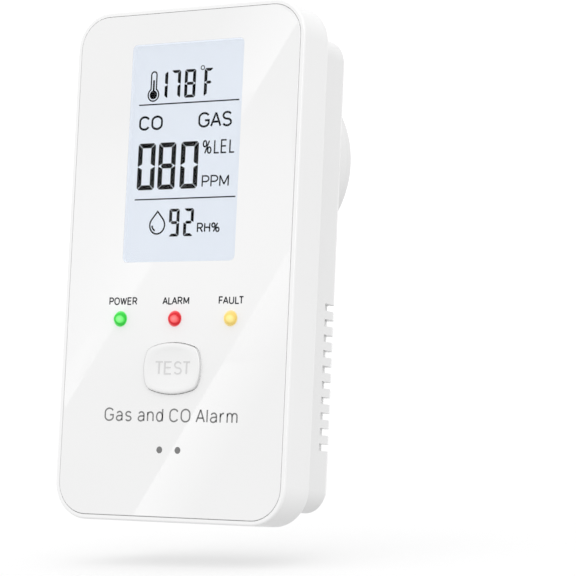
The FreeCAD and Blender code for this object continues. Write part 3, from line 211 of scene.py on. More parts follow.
def moulded(name, colour, low, high, grain=0.3, depth=0.001, depths=None):
    """Moulded plastic: fine spark-eroded grain, faint flow marks and uneven gloss between low and high.
    depths lists (Y value, share of the colour that shows there) from front to back, which paints light and shade
    along the case."""
    made = Shader(name).set(IOR=1.5)
    made.colours(made.noise(18.0, 2.0), shade(colour, 0.995), shade(colour, 1.005))
    if depths:
        made.paint_light_and_shade(depths)
    made.rough(made.noise(2.6, 3.0), low, high)
    wave = made.bump(made.noise(16.0, 1.0), 0.006, 0.2)
    made.bump(made.noise(grain, 1.0), depth, 0.25, wave)
    return made.material


def sheet_gloss(name, colour):
    """A polished sheet: almost even, with a faint orange peel and polishing haze."""
    made = Shader(name).set(IOR=1.45)
    made.colours(made.noise(26.0, 1.0), shade(colour, 0.996), shade(colour, 1.004))
    made.rough(made.noise(5.0, 3.0), 0.004, 0.012)
    made.bump(made.noise(8.0, 1.0), 0.0006, 0.3)
    return made.material


def clear_sheet(name):
    """A clear polished window that hardly bends the light."""
    made = Shader(name).set(IOR=1.17, Base_Color=(0.985, 0.99, 1.0, 1), Transmission_Weight=1.0)
    made.rough(made.noise(5.0, 3.0), 0.004, 0.012)
    return made.material


def lit(name, base, light, strength):
    """A surface lit from behind, with slightly uneven light."""
    dim, bright = 0.998, 1.002
    made = Shader(name).set(Emission_Strength=strength)
    made.colours(made.noise(9.0, 2.0), shade(base, dim), shade(base, bright))
    made.colours(made.noise(14.0, 2.0), shade(light, dim), shade(light, bright), "Emission Color")
    made.rough(made.noise(1.2, 2.0), 0.3, 0.4)
    return made.material


def lamp(name, x, stops, strength):
    """Tinted epoxy lit by the chip inside; stops are its colours from the bright spot outwards."""
    made = Shader(name).set(IOR=1.25, Emission_Strength=strength, Roughness=0.35)
    colour = made.ramp(made.from_axis(x + CHIP_SHIFT, LED_HEIGHT - CHIP_DROP, GLOW_RADIUS), stops)
    made.link(colour, made.surface.inputs["Base Color"])
    made.link(colour, made.surface.inputs["Emission Color"])
    made.bump(made.noise(0.5, 2.0), 0.004, 0.4)
    return made.material


def glow(name, x, colour):
    """Painted light: the glow that a lamp throws on the panel round it, painted into the panel's colour, which
    fades outwards.
    """
    made = Shader(name).set(IOR=1.45, Roughness=0.12)
    stops = [(LED_RADIUS / GLOW_RADIUS, colour), (0.9, colour), (1.0, PANEL)]
    painted_glow_colour = made.ramp(made.from_axis(x, LED_HEIGHT, GLOW_RADIUS), stops)
    made.link(painted_glow_colour, made.surface.inputs["Base Color"])
    made.bump(made.noise(0.5, 2.0), 0.001, 0.3)
    return made.material


def metal(name, colour, low, high, drawn=(1, 1, 1), waver=0.06):
    """Plated or drawn metal; drawn stretches its fine marks along an axis, and waver is how far its
    tone varies."""
    made = Shader(name).set(Metallic=1.0)
    place = made.stretched(drawn)
    made.colours(made.noise(1.5, 3.0, place), shade(colour, 1 - waver), shade(colour, 1 + waver))
    made.rough(made.noise(0.6, 4.0, place), low, high)
    made.bump(made.noise(0.08, 3.0, place), 0.003, 0.7)
    return made.material


def board(name):
    """Green solder resist with the faint copper pattern under it."""
    made = Shader(name)
    pitch = 2.4
    squares = made.node("ShaderNodeTexVoronoi", Scale=1 / (pitch * MM))
    squares.distance = "MANHATTAN"
    made.link(made.place, squares.inputs["Vector"])
    made.colours(squares.outputs["Distance"], (0.012, 0.16, 0.05, 1), (0.02, 0.24, 0.085, 1))
    made.rough(made.noise(1.0, 3.0), 0.22, 0.4)
    made.bump(squares.outputs["Distance"], 0.02, 0.5)
    return made.material


def fibres(name, colour, size, depth):
    """Paper, tape or foam: soft irregular tone with a matt bump."""
    made = Shader(name)
    made.colours(made.noise(size * 4, 4.0), shade(colour, 0.9), shade(colour, 1.08))
    made.rough(made.noise(size * 2, 3.0), 0.65, 0.9)
    made.bump(made.noise(size, 4.0), depth, 0.8)
    return made.material


def ink(name, colour, low=0.3, high=0.5, ior=1.5):
    """Printed ink: slightly uneven in tone and gloss."""
    made = Shader(name).set(IOR=ior)
    made.colours(made.noise(0.6, 3.0), shade(colour, 0.93), shade(colour, 1.07))
    made.rough(made.noise(0.4, 3.0), low, high)
    made.bump(made.noise(0.1, 2.0), 0.002, 0.5)
    return made.material


PANEL = grey(241)
CASE = grey(247)
# painted light and shade on the case: a painted highlight makes the rim a little lighter than its sides, and
# painted shade makes the ledge and the rear shell a little darker
RIM_SHARE, SIDE_SHARE, LEDGE_SHARE, REAR_SHARE = 0.975, 0.925, 0.915, 0.86
LEDGE = corner("front_shell", 1, 1)
CASE_PAINTED_LIGHT_AND_SHADE = [(FRONT, RIM_SHARE), (FRONT + 0.4, RIM_SHARE), (FRONT + 0.6, SIDE_SHARE),
               (LEDGE - 0.3, LEDGE_SHARE), (LEDGE + 0.05, REAR_SHARE), (0.0, REAR_SHARE)]
LED_FLANGE = 0.4  # how far the flange behind the panel stands out from the dome
LED_RADIUS = (corner("led_red", 1, 0) - corner("led_red", 0, 0)) / 2 - LED_FLANGE
LED_HEIGHT = (corner("led_red", 0, 2) + corner("led_red", 1, 2)) / 2
GLOW_RADIUS = LED_RADIUS + 0.3
CHIP_SHIFT, CHIP_DROP = 0.5, 0.15  # how far right of the lamp's axis, and below it, the bright spot lies
LAMPS = {
    "green": [(0.0, tint(150, 250, 148)), (0.34, tint(118, 240, 120)), (0.52, tint(52, 190, 64)),
              (0.76, tint(58, 196, 70)), (0.9, tint(84, 228, 96)), (1.0, tint(64, 208, 78))],
    "red": [(0.0, tint(252, 134, 134)), (0.34, tint(242, 104, 106)), (0.52, tint(200, 34, 44)),
            (0.76, tint(206, 40, 50)), (0.9, tint(236, 74, 82)), (1.0, tint(212, 50, 60))],
    "amber": [(0.0, tint(252, 234, 160)), (0.34, tint(249, 227, 142)), (0.52, tint(234, 204, 112)),
              (0.76, tint(238, 210, 122)), (0.9, tint(246, 226, 152)), (1.0, tint(240, 216, 138))],
}
# colours of the painted glow that each lamp throws on the panel round it
GLOWS = {"green": tint(96, 236, 108), "red": tint(246, 96, 102), "amber": tint(248, 228, 156)}


def lamp_place(colour):
    """The X value of a lamp's axis."""
    return (corner("led_" + colour, 0, 0) + corner("led_" + colour, 1, 0)) / 2


def lamp_finish(colour, strength):
    """The finish of one lamp's lens."""
    return lamp(colour + "_lens", lamp_place(colour), LAMPS[colour], strength)


FINISHES = {
    # the case's finish paints a highlight on the rim and shade towards the ledge and the rear shell
    "case_white": moulded("case_white", CASE, 0.285, 0.32, depths=CASE_PAINTED_LIGHT_AND_SHADE),
    "panel_white": sheet_gloss("panel_white", PANEL),
    "clear_window": clear_sheet("clear_window"),
    "display_glass": lit("display_glass", tint(60, 64, 70), tint(225, 231, 239), 0.89),
    "backlight": lit("backlight", tint(236, 240, 246), tint(236, 240, 246), 0.5),
    "natural_plastic": moulded("natural_plastic", tint(226, 225, 218), 0.4, 0.55),
    "green_lens": lamp_finish("green", 0.3),
    "red_lens": lamp_finish("red", 0.3),
    "amber_lens": lamp_finish("amber", 0.18),
    "button_white": moulded("button_white", grey(240), 0.285, 0.32, 0.2),
    "plug_white": moulded("plug_white", grey(229), 0.285, 0.34),
    "grey_rubber": moulded("grey_rubber", tint(168, 169, 170), 0.6, 0.8, 0.2, 0.008),
    "foam": fibres("foam", tint(60, 60, 62), 0.25, 0.05),
    "circuit_board": board("circuit_board"),
    "black_plastic": moulded("black_plastic", tint(40, 40, 42), 0.4, 0.6, 0.1, 0.006),
    "plunger_plastic": moulded("plunger_plastic", tint(50, 50, 52), 0.35, 0.5),
    "tinned_metal": metal("tinned_metal", tint(216, 216, 212), 0.22, 0.38),
    "screw_steel": metal("screw_steel", tint(196, 198, 202), 0.25, 0.42),
    "sensor_metal": metal("sensor_metal", grey(206), 0.24, 0.4, (1, 1, 6)),
    "blade_metal": metal("blade_metal", tint(226, 227, 229), 0.34, 0.46, (1, 0.06, 1), waver=0.04),
    "spring_metal": metal("spring_metal", tint(200, 202, 206), 0.18, 0.3),
    "contact_metal": metal("contact_metal", tint(222, 184, 112), 0.2, 0.36),
    "ferrite": fibres("ferrite", tint(64, 62, 62), 0.1, 0.01),
    "winding_tape": moulded("winding_tape", tint(228, 196, 84), 0.3, 0.45),
    "capacitor_sleeve": moulded("capacitor_sleeve", tint(48, 56, 78), 0.22, 0.34),
    "film_box": moulded("film_box", tint(226, 186, 74), 0.4, 0.55),
    "resistor_body": moulded("resistor_body", tint(96, 140, 136), 0.4, 0.55),
    "varistor_coat": moulded("varistor_coat", tint(56, 92, 168), 0.35, 0.5),
    "fish_paper": fibres("fish_paper", tint(206, 202, 186), 0.3, 0.02),
}
INK_SEGMENT = ink("display_segment", tint(5, 6, 8), 0.35, 0.5, 1.05)
INK_LINE = ink("display_line", tint(14, 18, 24), 0.35, 0.5, 1.08)
INK_FAINT = ink("display_faint", tint(48, 52, 60), 0.35, 0.5, 1.08)
INK_LABEL = ink("label_ink", tint(50, 52, 56), ior=1.3)
INK_TITLE = ink("title_ink", grey(120))
MESH_CLOTH = fibres("acoustic_mesh", grey(122), 0.1, 0.01)
# raised words are a little darker than what they stand on, as painted shade that stands in for the shading of
# their edges, so that they can be read
RELIEF_FRONT = moulded("relief_front", grey(214), 0.3, 0.4, 0.2)
RELIEF_REAR = moulded("relief_rear", grey(208), 0.3, 0.4)


def finish_frame():
    """Gives every CAD node its slot's finish."""
    for part in frame["record"]["subparts"]:
        piece = frame["nodes"][part["node"]]
        piece.data.materials.clear()
        piece.data.materials.append(FINISHES[part["material_slot"]])


# ---------------------------------------------------------------- meshes

def piece_from(name, build, body, material):
    """A mesh object that build fills, riding on a body."""
    mesh = bpy.data.meshes.new(name)
    work = bmesh.new()
    build(work)
    bmesh.ops.recalc_face_normals(work, faces=work.faces)
    work.to_mesh(mesh)
    work.free()
    made = bpy.data.objects.new(name, mesh)
    bpy.context.scene.collection.objects.link(made)
    mesh.materials.append(material)
    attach(made, body)
    return made


def prism(work, outline, depth):
    """A closed prism between two Y values over a convex (x, z) outline."""
    low, high = depth
    rear = [work.verts.new(mm(x, high, z)) for x, z in outline]
    front = [work.verts.new(mm(x, low, z)) for x, z in outline]
    work.faces.new(rear)
    work.faces.new(reversed(front))
    count = len(outline)
    for i in range(count):
        j = (i + 1) % count
        work.faces.new((rear[i], front[i], front[j], rear[j]))


def sideways(before, here, after):
    """The mitred offset to the left at one point of a path, for an offset of 1 and at most longest."""
    longest = 1.5
    first, second = (Vector(here) - Vector(before)), (Vector(after) - Vector(here))
    first = first.normalized() if first.length > 1e-9 else second.normalized()
    second = second.normalized() if second.length > 1e-9 else first
    normal = Vector((-first.y - second.y, first.x + second.x))
    if normal.length < 1e-6:
        return Vector((-first.y, first.x))
    normal.normalize()
    return normal * min(longest, 1 / max(1e-6, normal.dot(Vector((-first.y, first.x)))))


def line(work, path, thickness, depth):
    """A closed solid line of even thickness along an (x, z) path, between two Y values. A path that
    ends where it starts makes a loop."""
    low, high = depth
    loop = (Vector(path[0]) - Vector(path[-1])).length < 1e-6
    points = path[:-1] if loop else path
    count = len(points)
    sections = []
    for i, point in enumerate(points):
        before = points[i - 1] if loop or i else point
        after = points[(i + 1) % count] if loop or i < count - 1 else point
        shift = sideways(before, point, after) * thickness / 2
        left, right = Vector(point) + shift, Vector(point) - shift
        corners = [(left, low), (left, high), (right, high), (right, low)]
        sections.append([work.verts.new(mm(p.x, y, p.y)) for p, y in corners])
    for i in range(count if loop else count - 1):
        here, there = sections[i], sections[(i + 1) % count]
        for k in range(4):
            work.faces.new((here[k], here[(k + 1) % 4], there[(k + 1) % 4], there[k]))
    if not loop:
        work.faces.new(sections[0])
        work.faces.new(reversed(sections[-1]))


def bow(x, z, half_x, half_z, start, end):
    """Points along part of an ellipse, between two angles in degrees."""
    steps = max(3, round(abs(end - start) / 12))
    turns = [math.radians(start + (end - start) * i / steps) for i in range(steps + 1)]
    return [(x + half_x * math.cos(t), z + half_z * math.sin(t)) for t in turns]


# ---------------------------------------------------------------- lettering

# Each letter is its width and its strokes, where capitals are 1 high and small letters 0.74.
LETTERS = {
    "A": (0.68, [[(0, 0), (0.34, 1), (0.68, 0)], [(0.12, 0.32), (0.56, 0.32)]]),
    "C": (0.66, [bow(0.34, 0.66, 0.34, 0.34, 25, 180) + bow(0.34, 0.34, 0.34, 0.34, 180, 335)]),
    "E": (0.54, [[(0.54, 1), (0, 1), (0, 0), (0.54, 0)], [(0, 0.52), (0.49, 0.52)]]),
    "F": (0.5, [[(0.5, 1), (0, 1), (0, 0)], [(0, 0.5), (0.44, 0.5)]]),
    "G": (0.7, [bow(0.36, 0.66, 0.36, 0.34, 30, 180) + bow(0.36, 0.34, 0.36, 0.34, 180, 340)
                + [(0.7, 0.46), (0.42, 0.46)]]),
    "H": (0.6, [[(0, 0), (0, 1)], [(0.6, 0), (0.6, 1)], [(0, 0.52), (0.6, 0.52)]]),
    "K": (0.6, [[(0, 0), (0, 1)], [(0.56, 1), (0, 0.36)], [(0.2, 0.56), (0.6, 0)]]),
    "L": (0.48, [[(0, 1), (0, 0), (0.48, 0)]]),
    "M": (0.74, [[(0, 0), (0, 1), (0.37, 0.16), (0.74, 1), (0.74, 0)]]),
    "N": (0.6, [[(0, 0), (0, 1), (0.6, 0), (0.6, 1)]]),
    "O": (0.72, [bow(0.36, 0.64, 0.36, 0.36, 0, 180) + bow(0.36, 0.36, 0.36, 0.36, 180, 360)
                 + [(0.72, 0.64)]]),
    "P": (0.58, [[(0, 0), (0, 1), (0.3, 1)] + bow(0.3, 0.73, 0.28, 0.27, 80, -80)
                 + [(0.3, 0.46), (0, 0.46)]]),
    "R": (0.6, [[(0, 0), (0, 1), (0.3, 1)] + bow(0.3, 0.74, 0.28, 0.26, 80, -80) + [(0.3, 0.48), (0, 0.48)],
                [(0.32, 0.48), (0.6, 0)]]),
    "S": (0.58, [bow(0.29, 0.75, 0.28, 0.25, 25, 255) + bow(0.29, 0.25, 0.29, 0.25, 75, -155)]),
    "T": (0.58, [[(0, 1), (0.58, 1)], [(0.29, 1), (0.29, 0)]]),
    "U": (0.6, [[(0, 1)] + bow(0.3, 0.3, 0.3, 0.3, 180, 360) + [(0.6, 1)]]),
    "W": (0.92, [[(0, 1), (0.23, 0), (0.46, 0.96), (0.69, 0), (0.92, 1)]]),
    "%": (0.86, [bow(0.18, 0.76, 0.18, 0.24, 0, 360), bow(0.68, 0.24, 0.18, 0.24, 0, 360),
                 [(0.66, 1), (0.2, 0)]]),
    "a": (0.5, [bow(0.25, 0.49, 0.23, 0.25, 155, 0) + [(0.48, 0)],
                [(0.48, 0.42), (0.24, 0.4)] + bow(0.22, 0.2, 0.22, 0.2, 100, 270)
                + [(0.34, 0.03), (0.48, 0.18)]]),
    "s": (0.46, [bow(0.23, 0.555, 0.22, 0.185, 25, 255) + bow(0.23, 0.185, 0.23, 0.185, 75, -155)]),
    "n": (0.47, [[(0, 0), (0, 0.74)], [(0, 0.46)] + bow(0.235, 0.5, 0.235, 0.24, 165, 0) + [(0.47, 0)]]),
    "d": (0.5, [[(0.5, 0), (0.5, 1)], bow(0.25, 0.37, 0.25, 0.37, 0, 360)]),
    "l": (0.0, [[(0, 0), (0, 1)]]),
    "r": (0.28, [[(0, 0), (0, 0.74)], [(0, 0.42)] + bow(0.28, 0.44, 0.27, 0.3, 165, 85)]),
    "m": (0.8, [[(0, 0), (0, 0.74)], [(0, 0.48)] + bow(0.2, 0.52, 0.2, 0.22, 165, 0) + [(0.4, 0)],
                [(0.4, 0.48)] + bow(0.6, 0.52, 0.2, 0.22, 165, 0) + [(0.8, 0)]]),
}
# how far the neighbours move in on the left and on the right of letters with open sides
OPEN_SIDES = {"A": (0.08, 0.08), "F": (0.0, 0.1), "L": (0.0, 0.13), "P": (0.0, 0.05), "T": (0.1, 0.1),
              "W": (0.04, 0.04)}
LETTER_GAP = 0.3
WORD_GAP = 0.34
SHARP_TURN = -0.3  # the cosine below which a stroke turns back sharply


def parted(path):
    """Cuts a path wherever it turns back sharply, so that every part keeps its thickness."""
    parts = [[path[0]]]
    for before, here, after in zip(path, path[1:], path[2:]):
        parts[-1].append(here)
        arriving, leaving = Vector(here) - Vector(before), Vector(after) - Vector(here)
        if arriving.normalized().dot(leaving.normalized()) < SHARP_TURN:
            parts.append([here])
    parts[-1].append(path[-1])
    return parts


def lettering(name, words, box, thickness, depth, body, material, bend=None, drape=None,
              gap=LETTER_GAP):
    """Words in even strokes that fill box, (x low, x high, z low, z high). bend turns a point of the
    box into one on the object, and drape gives how far back the surface lies there."""
    x_low, x_high, z_low, z_high = box
    strokes, reach = [], 0.0
    for letter in words:
        if letter == " ":
            reach += WORD_GAP
            continue
        width, shapes = LETTERS[letter]
        before, after = OPEN_SIDES.get(letter, (0.0, 0.0))
        reach -= before if strokes else 0.0
        strokes += [[(reach + x, z) for x, z in shape] for shape in shapes]
        reach += width + gap - after
    across = (x_high - x_low - thickness) / (reach - gap + after)
    tall = z_high - z_low - thickness

    def build(work):
        for stroke in strokes:
            path = [(x_low + thickness / 2 + x * across, z_low + thickness / 2 + z * tall) for x, z in stroke]
            for part in parted([bend(*point) for point in path] if bend else path):
                line(work, part, thickness, depth)
        if drape:
            for vertex in work.verts:
                vertex.co.y += drape(vertex.co.x / MM, vertex.co.z / MM) * MM

    return piece_from(name, build, body, material)


# ---------------------------------------------------------------- display

SEGMENTS = {"0": "abcdef", "1": "bc", "2": "abged", "7": "abc", "8": "abcdefg", "9": "abcdfg", "F": "aefg"}


def segment(letter, box, upright, level, gap):
    """One bar of a seven-segment figure as an (x, z) outline. upright and level are the thickness of
    the upright and of the level bars; the figure's corners are cut and its mitres stand gap apart."""
    left, right, low, high = box
    cut = 0.4 * upright
    side = gap * 0.7
    middle = (low + high) / 2
    if letter in "ad":
        edge, inward = (high, -1) if letter == "a" else (low, 1)
        half = [(cut, 0), (cut / 2 + side, cut / 2), (upright + side, level)]
        outline = [(left + x, edge + inward * z) for x, z in half]
        return outline + [(right - x, edge + inward * z) for x, z in reversed(half)]
    if letter == "g":
        half = [(gap + cut, level / 2), (gap, 0), (gap + cut, -level / 2)]
        inset = upright * 0.5
        outline = [(left + inset + x, middle + z) for x, z in half]
        return outline + [(right - inset - x, middle + z) for x, z in reversed(half)]
    edge, inward = (left, 1) if letter in "ef" else (right, -1)
    end, towards = (high, -1) if letter in "bf" else (low, 1)
    inner = edge + inward * upright
    return [(edge, end + towards * cut), (edge + inward * cut / 2, end + towards * (cut / 2 + side)),
            (inner, end + towards * (level + side)), (inner, middle - towards * (level / 2 + side)),
            (edge + inward * cut / 2, middle - towards * gap), (edge, middle - towards * gap * 0.8)]


def digits(name, text, boxes, upright, level, gap):
    """A row of seven-segment figures in one piece."""
    def build(work):
        for figure, box in zip(text, boxes):
            for letter in SEGMENTS[figure]:
                prism(work, segment(letter, box, upright, level, gap), SEGMENT_DEPTH)
    piece_from(name, build, "housing", INK_SEGMENT)


def drawn(name, path, thickness, material):
    """A line on the display along an (x, z) path."""
    piece_from(name, lambda work: line(work, path, thickness, SEGMENT_DEPTH), "housing", material)


def display_words(name, words, box, thickness, material, gap=0.26):
    """Words on the display."""
    lettering(name, words, box, thickness, SEGMENT_DEPTH, "housing", material, gap=gap)


def display():
    """Everything that the liquid crystal shows, in three rows parted by two rules. A row of figures is
    given by its lower and upper edge, and a figure by its left and right side."""
    temperature_row, gas_row, humidity_row = (9.75, 15.6), (-9.0, 0.68), (-18.74, -13.05)
    temperature = [(-7.5, -5.2), (-4.4, -2.05), (-1.07, 1.64), (3.7, 5.9)]
    gas = [(-11.68, -7.4), (-6.6, -2.35), (-1.13, 3.15)]
    humidity = [(-3.25, -0.74), (0.3, 2.73)]
    digits("temperature_figures", "178F", [sides + temperature_row for sides in temperature], 0.72, 0.6, 0.08)
    digits("gas_figures", "080", [sides + gas_row for sides in gas], 1.08, 1.0, 0.1)
    digits("humidity_figures", "92", [sides + humidity_row for sides in humidity], 0.7, 0.6, 0.08)
    rule = 0.27
    drawn("display_rule_upper", [(-12.1, 8.73), (12.36, 8.73)], rule, INK_LINE)
    drawn("display_rule_lower", [(-12.0, -10.95), (12.5, -10.95)], rule, INK_LINE)
    display_words("label_co", "CO", (-11.85, -5.97, 3.37, 6.4), 0.46, INK_LINE)
    display_words("label_gas", "GAS", (2.73, 10.85, 3.37, 6.55), 0.43, INK_LINE)
    display_words("label_lel", "%LEL", (4.07, 11.86, -2.08, 0.8), 0.32, INK_LINE, 0.4)
    display_words("label_ppm", "PPM", (4.24, 10.77, -8.86, -6.4), 0.3, INK_LINE)
    display_words("label_humidity", "RH%", (3.62, 9.1, -18.1, -16.05), 0.31, INK_LINE)
    drawn("degree_ring", bow(3.2, 15.75, 0.41, 0.41, 0, 360), 0.19, INK_FAINT)
    thermometer(-8.66, 10.74)
    water_drop(-6.13, -18.3)


def thermometer(x, bulb_z):
    """A bulb and stem in outline, with the liquid inside."""
    thickness, bulb, stem, top = 0.3, 1.3, 0.66, 15.55
    liquid_bulb, liquid_stem, liquid_top = 0.92, 0.42, 13.8
    shoulder = math.degrees(math.acos(stem / bulb))
    outline = bow(x, bulb_z, bulb, bulb, 180 - shoulder, 360 + shoulder)
    outline += bow(x, top - stem, stem, stem, 0, 180)
    drawn("thermometer_line", outline + outline[:1], thickness, INK_LINE)

    def column(work):
        prism(work, bow(x, bulb_z, liquid_bulb, liquid_bulb, 0, 345), SEGMENT_DEPTH)
        line(work, [(x, bulb_z + 0.7), (x, liquid_top)], liquid_stem, SEGMENT_DEPTH)

    piece_from("thermometer_column", column, "housing", INK_SEGMENT)


def water_drop(x, low):
    """A drop in outline: round below and running up to a point, with a gleam inside."""
    thickness, half, high, gleam = 0.34, 1.82, -13.5, 1.25
    centre = low + thickness / 2 + half
    shoulder = math.degrees(math.asin(half / (high - centre)))
    outline = bow(x, centre, half, half, 180 - shoulder, 360 + shoulder) + [(x, high)]
    drawn("drop_line", outline + outline[:1], thickness, INK_LINE)
    drawn("drop_gleam", bow(x, centre, gleam, gleam, 184, 246), 0.36, INK_LINE)


def window_liner():
    """A thin sleeve on the window's wall that gives off light like the display behind it: painted light, as the
    wall itself is no lamp.
    """
    inset, radius, thickness = 0.03, 1.1, 0.05
    right, high = corner("display_lens", 1, 0), corner("display_lens", 1, 2)
    left, low = corner("display_lens", 0, 0), corner("display_lens", 0, 2)
    path = []
    for x, z, start in ((right, high, 0), (left, high, 90), (left, low, 180), (right, low, 270)):
        centre_x = x - math.copysign(radius, x)
        centre_z = z - radius if z == high else z + radius
        path += bow(centre_x, centre_z, radius - inset, radius - inset, start, start + 90)
    # the sleeve glows with the display's finish: painted light on the window's wall
    depth = (FRONT + 0.05, GLASS_FRONT - 0.06)
    piece_from("window_liner", lambda work: line(work, path + path[:1], thickness, depth), "housing",
               FINISHES["display_glass"])


# ---------------------------------------------------------------- front

def legends():
    """What is printed on the panel."""
    low, high = -32.75, -31.15
    for words, x_low, x_high in (("POWER", -16.35, -9.4), ("ALARM", -3.2, 3.3), ("FAULT", 10.35, 16.3)):
        box = (x_low, x_high, low, high)
        lettering("label_" + words.lower(), words, box, 0.265, PRINT_DEPTH, "housing", INK_LABEL)
    box = (-16.1, 16.1, -56.5, -53.72)
    lettering("panel_title", "Gas and CO Alarm", box, 0.32, PRINT_DEPTH, "housing", INK_TITLE)


def glow_rings():
    """The painted glow round each lamp, a tint that stands in for its light on the panel and also covers the edge
    of its hole.
    """
    middle, wide = (LED_RADIUS + GLOW_RADIUS) / 2, GLOW_RADIUS - LED_RADIUS + 0.04
    for colour, tone in GLOWS.items():
        x = lamp_place(colour)
        path = bow(x, LED_HEIGHT, middle, middle, 0, 360)
        piece_from("led_glow_" + colour, lambda work: line(work, path, wide, (FRONT - 0.012, FRONT + 0.05)),
                   "housing", glow("glow_" + colour, x, tone))


def sound_meshes():
    """A disc of fine mesh that closes each sound hole of the panel."""
    across, height, radius = 2.2, -62.1, 0.7
    for name, side in (("sound_mesh_left", -1), ("sound_mesh_right", 1)):
        disc = bow(side * across, height, radius, radius, 0, 345)
        piece_from(name, lambda work: prism(work, disc, (FRONT - 0.01, FRONT + 0.2)), "housing", MESH_CLOTH)


BUTTON_HALF_X, BUTTON_HALF_Z = 6.75, 5.1
BUTTON_Z = (corner("test_button", 0, 2) + corner("test_button", 1, 2)) / 2
BUTTON_SIDE, BUTTON_ARCH = 0.9, 1.2  # how far the sides and the upper and lower edges bulge
BUTTON_CORNER = 2.0
BUTTON_ROUND = 0.45  # the rounding of the front edge
BUTTON_SWELL = 0.11  # how much of the gap to the panel the cap takes up
BUTTON_SHIFT = 0.07  # how far right of the middle the cap sits in its opening
DISH_DEPTH, DISH_EDGE = 0.42, 0.9  # the dish's depth, and where it ends as a share of the outline


def button_outline(inset):
    """The cushion-shaped outline as (x, z) points round its own centre, inset towards it."""
    across, up = BUTTON_HALF_X - BUTTON_SIDE, BUTTON_HALF_Z - BUTTON_ARCH
    arch_radius = (across ** 2 + BUTTON_ARCH ** 2) / (2 * BUTTON_ARCH)
    side_radius = (up ** 2 + BUTTON_SIDE ** 2) / (2 * BUTTON_SIDE)
    arch_centre, side_centre = BUTTON_HALF_Z - arch_radius, BUTTON_HALF_X - side_radius
    # the corner's circle touches both arcs: its centre is where two smaller circles meet
    first, second = arch_radius - BUTTON_CORNER, side_radius - BUTTON_CORNER
    apart = math.hypot(side_centre, arch_centre)
    along = (first ** 2 - second ** 2 + apart ** 2) / (2 * apart)
    away = math.sqrt(first ** 2 - along ** 2)
    ux, uz = side_centre / apart, -arch_centre / apart
    centre_x, centre_z = ux * along + uz * away, arch_centre + uz * along - ux * away
    low = math.degrees(math.atan2(centre_z, centre_x - side_centre))
    high = math.degrees(math.atan2(centre_z - arch_centre, centre_x))
    quarter = bow(side_centre, 0, side_radius - inset, side_radius - inset, 0, low)
    quarter += bow(centre_x, centre_z, BUTTON_CORNER - inset, BUTTON_CORNER - inset, low, high)[1:]
    quarter += bow(0, arch_centre, arch_radius - inset, arch_radius - inset, high, 90)[1:]
    left = [(-x, z) for x, z in reversed(quarter[:-1])]
    upper = quarter + left
    return upper + [(x, -z) for x, z in reversed(upper[1:-1])]


def dish(x, z):
    """How far back the button's dished face lies at a place on the object."""
    share = math.hypot(x / BUTTON_HALF_X, (z - BUTTON_Z) / BUTTON_HALF_Z) / DISH_EDGE
    return DISH_DEPTH * max(0.0, 1 - share ** 2)


def placed(outline, share=1.0):
    """A button outline, shrunk to a share of its size, in its place on the object."""
    return [(BUTTON_SHIFT + x * share, BUTTON_Z + z * share) for x, z in outline]


def button():
    """The visible button: a rounded edge with a thin darker line round it as painted shade at its gap,
    a raised border and a dished face with its word on it."""
    border, dish_rings, shade_line = 0.45, 12, 0.1
    back = PANEL_BACK + 0.4

    def build(work):
        rings = [(-BUTTON_SWELL, back), (-BUTTON_SWELL, BUTTON_FRONT + BUTTON_ROUND)]
        for step in (22.5, 45, 67.5, 90):
            turn = math.radians(step)
            rings.append((BUTTON_ROUND * (1 - math.cos(turn)) - BUTTON_SWELL,
                          BUTTON_FRONT + BUTTON_ROUND * (1 - math.sin(turn))))
        rings.append((BUTTON_ROUND + border, BUTTON_FRONT))
        loops = [[(x, z, y) for x, z in placed(button_outline(inset))] for inset, y in rings]
        face = button_outline(BUTTON_ROUND + border)
        for k in range(1, dish_rings):
            points = placed(face, 1 - k / dish_rings)
            loops.append([(x, z, BUTTON_FRONT + dish(x, z)) for x, z in points])
        loops = [[work.verts.new(mm(x, y, z)) for x, z, y in loop] for loop in loops]
        count = len(loops[0])
        for here, there in zip(loops, loops[1:]):
            for i in range(count):
                j = (i + 1) % count
                work.faces.new((here[i], here[j], there[j], there[i]))
        work.faces.new(loops[0])
        middle = work.verts.new(mm(0, BUTTON_FRONT + dish(0, BUTTON_Z), BUTTON_Z))
        for i in range(count):
            work.faces.new((loops[-1][i], loops[-1][(i + 1) % count], middle))

    # a thin darker line round the cap: painted shade where the gap round the button lies
    path = placed(button_outline(0.06 - BUTTON_SWELL))
    edge = (BUTTON_FRONT + 0.14, BUTTON_FRONT + BUTTON_ROUND + 0.1)
    piece_from("button_edge", lambda work: line(work, path + path[:1], shade_line, edge), "button", RELIEF_FRONT)
    cap = piece_from("button_cap", build, "button", FINISHES["button_white"])
    for face in cap.data.polygons:
        face.use_smooth = len(face.vertices) < 5
    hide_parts("test_button")
    box = (-4.0, 4.6, BUTTON_Z - 1.25, BUTTON_Z + 1.45)
    depth = (BUTTON_FRONT - 0.07, BUTTON_FRONT + 0.2)
    lettering("button_word", "TEST", box, 0.3, depth, "button", RELIEF_FRONT, drape=dish)


# ---------------------------------------------------------------- rear

DISC_DEPTH = (DISC_REAR - 0.1, DISC_REAR + 0.13)
RELIEF_WIDTH = 0.36


def round_the_disc(start, radius):
    """Bends a level line of writing clockwise, seen from the rear, from an angle on a circle."""
    def bend(along, up):
        turn = math.radians(start) - along / radius
        return (-(radius + up) * math.cos(turn), (radius + up) * math.sin(turn))
    return bend


def plug_line(name, path, thickness, depth=DISC_DEPTH):
    """A raised line on the plug, in the plug's own finish."""
    piece_from(name, lambda work: line(work, path, thickness, depth), "plug", FINISHES["plug_white"])


def disc_words():
    """The raised words on the plug's disc, read round its lower half."""
    radius, tall = 12.4, 2.1
    for words, start, length in (("OPEN", 222, 8.6), ("LOCK", -7, 7.8)):
        lettering("plug_" + words.lower(), words, (0, length, 0, tall), RELIEF_WIDTH, DISC_DEPTH, "plug",
                  RELIEF_REAR, bend=round_the_disc(start, radius))


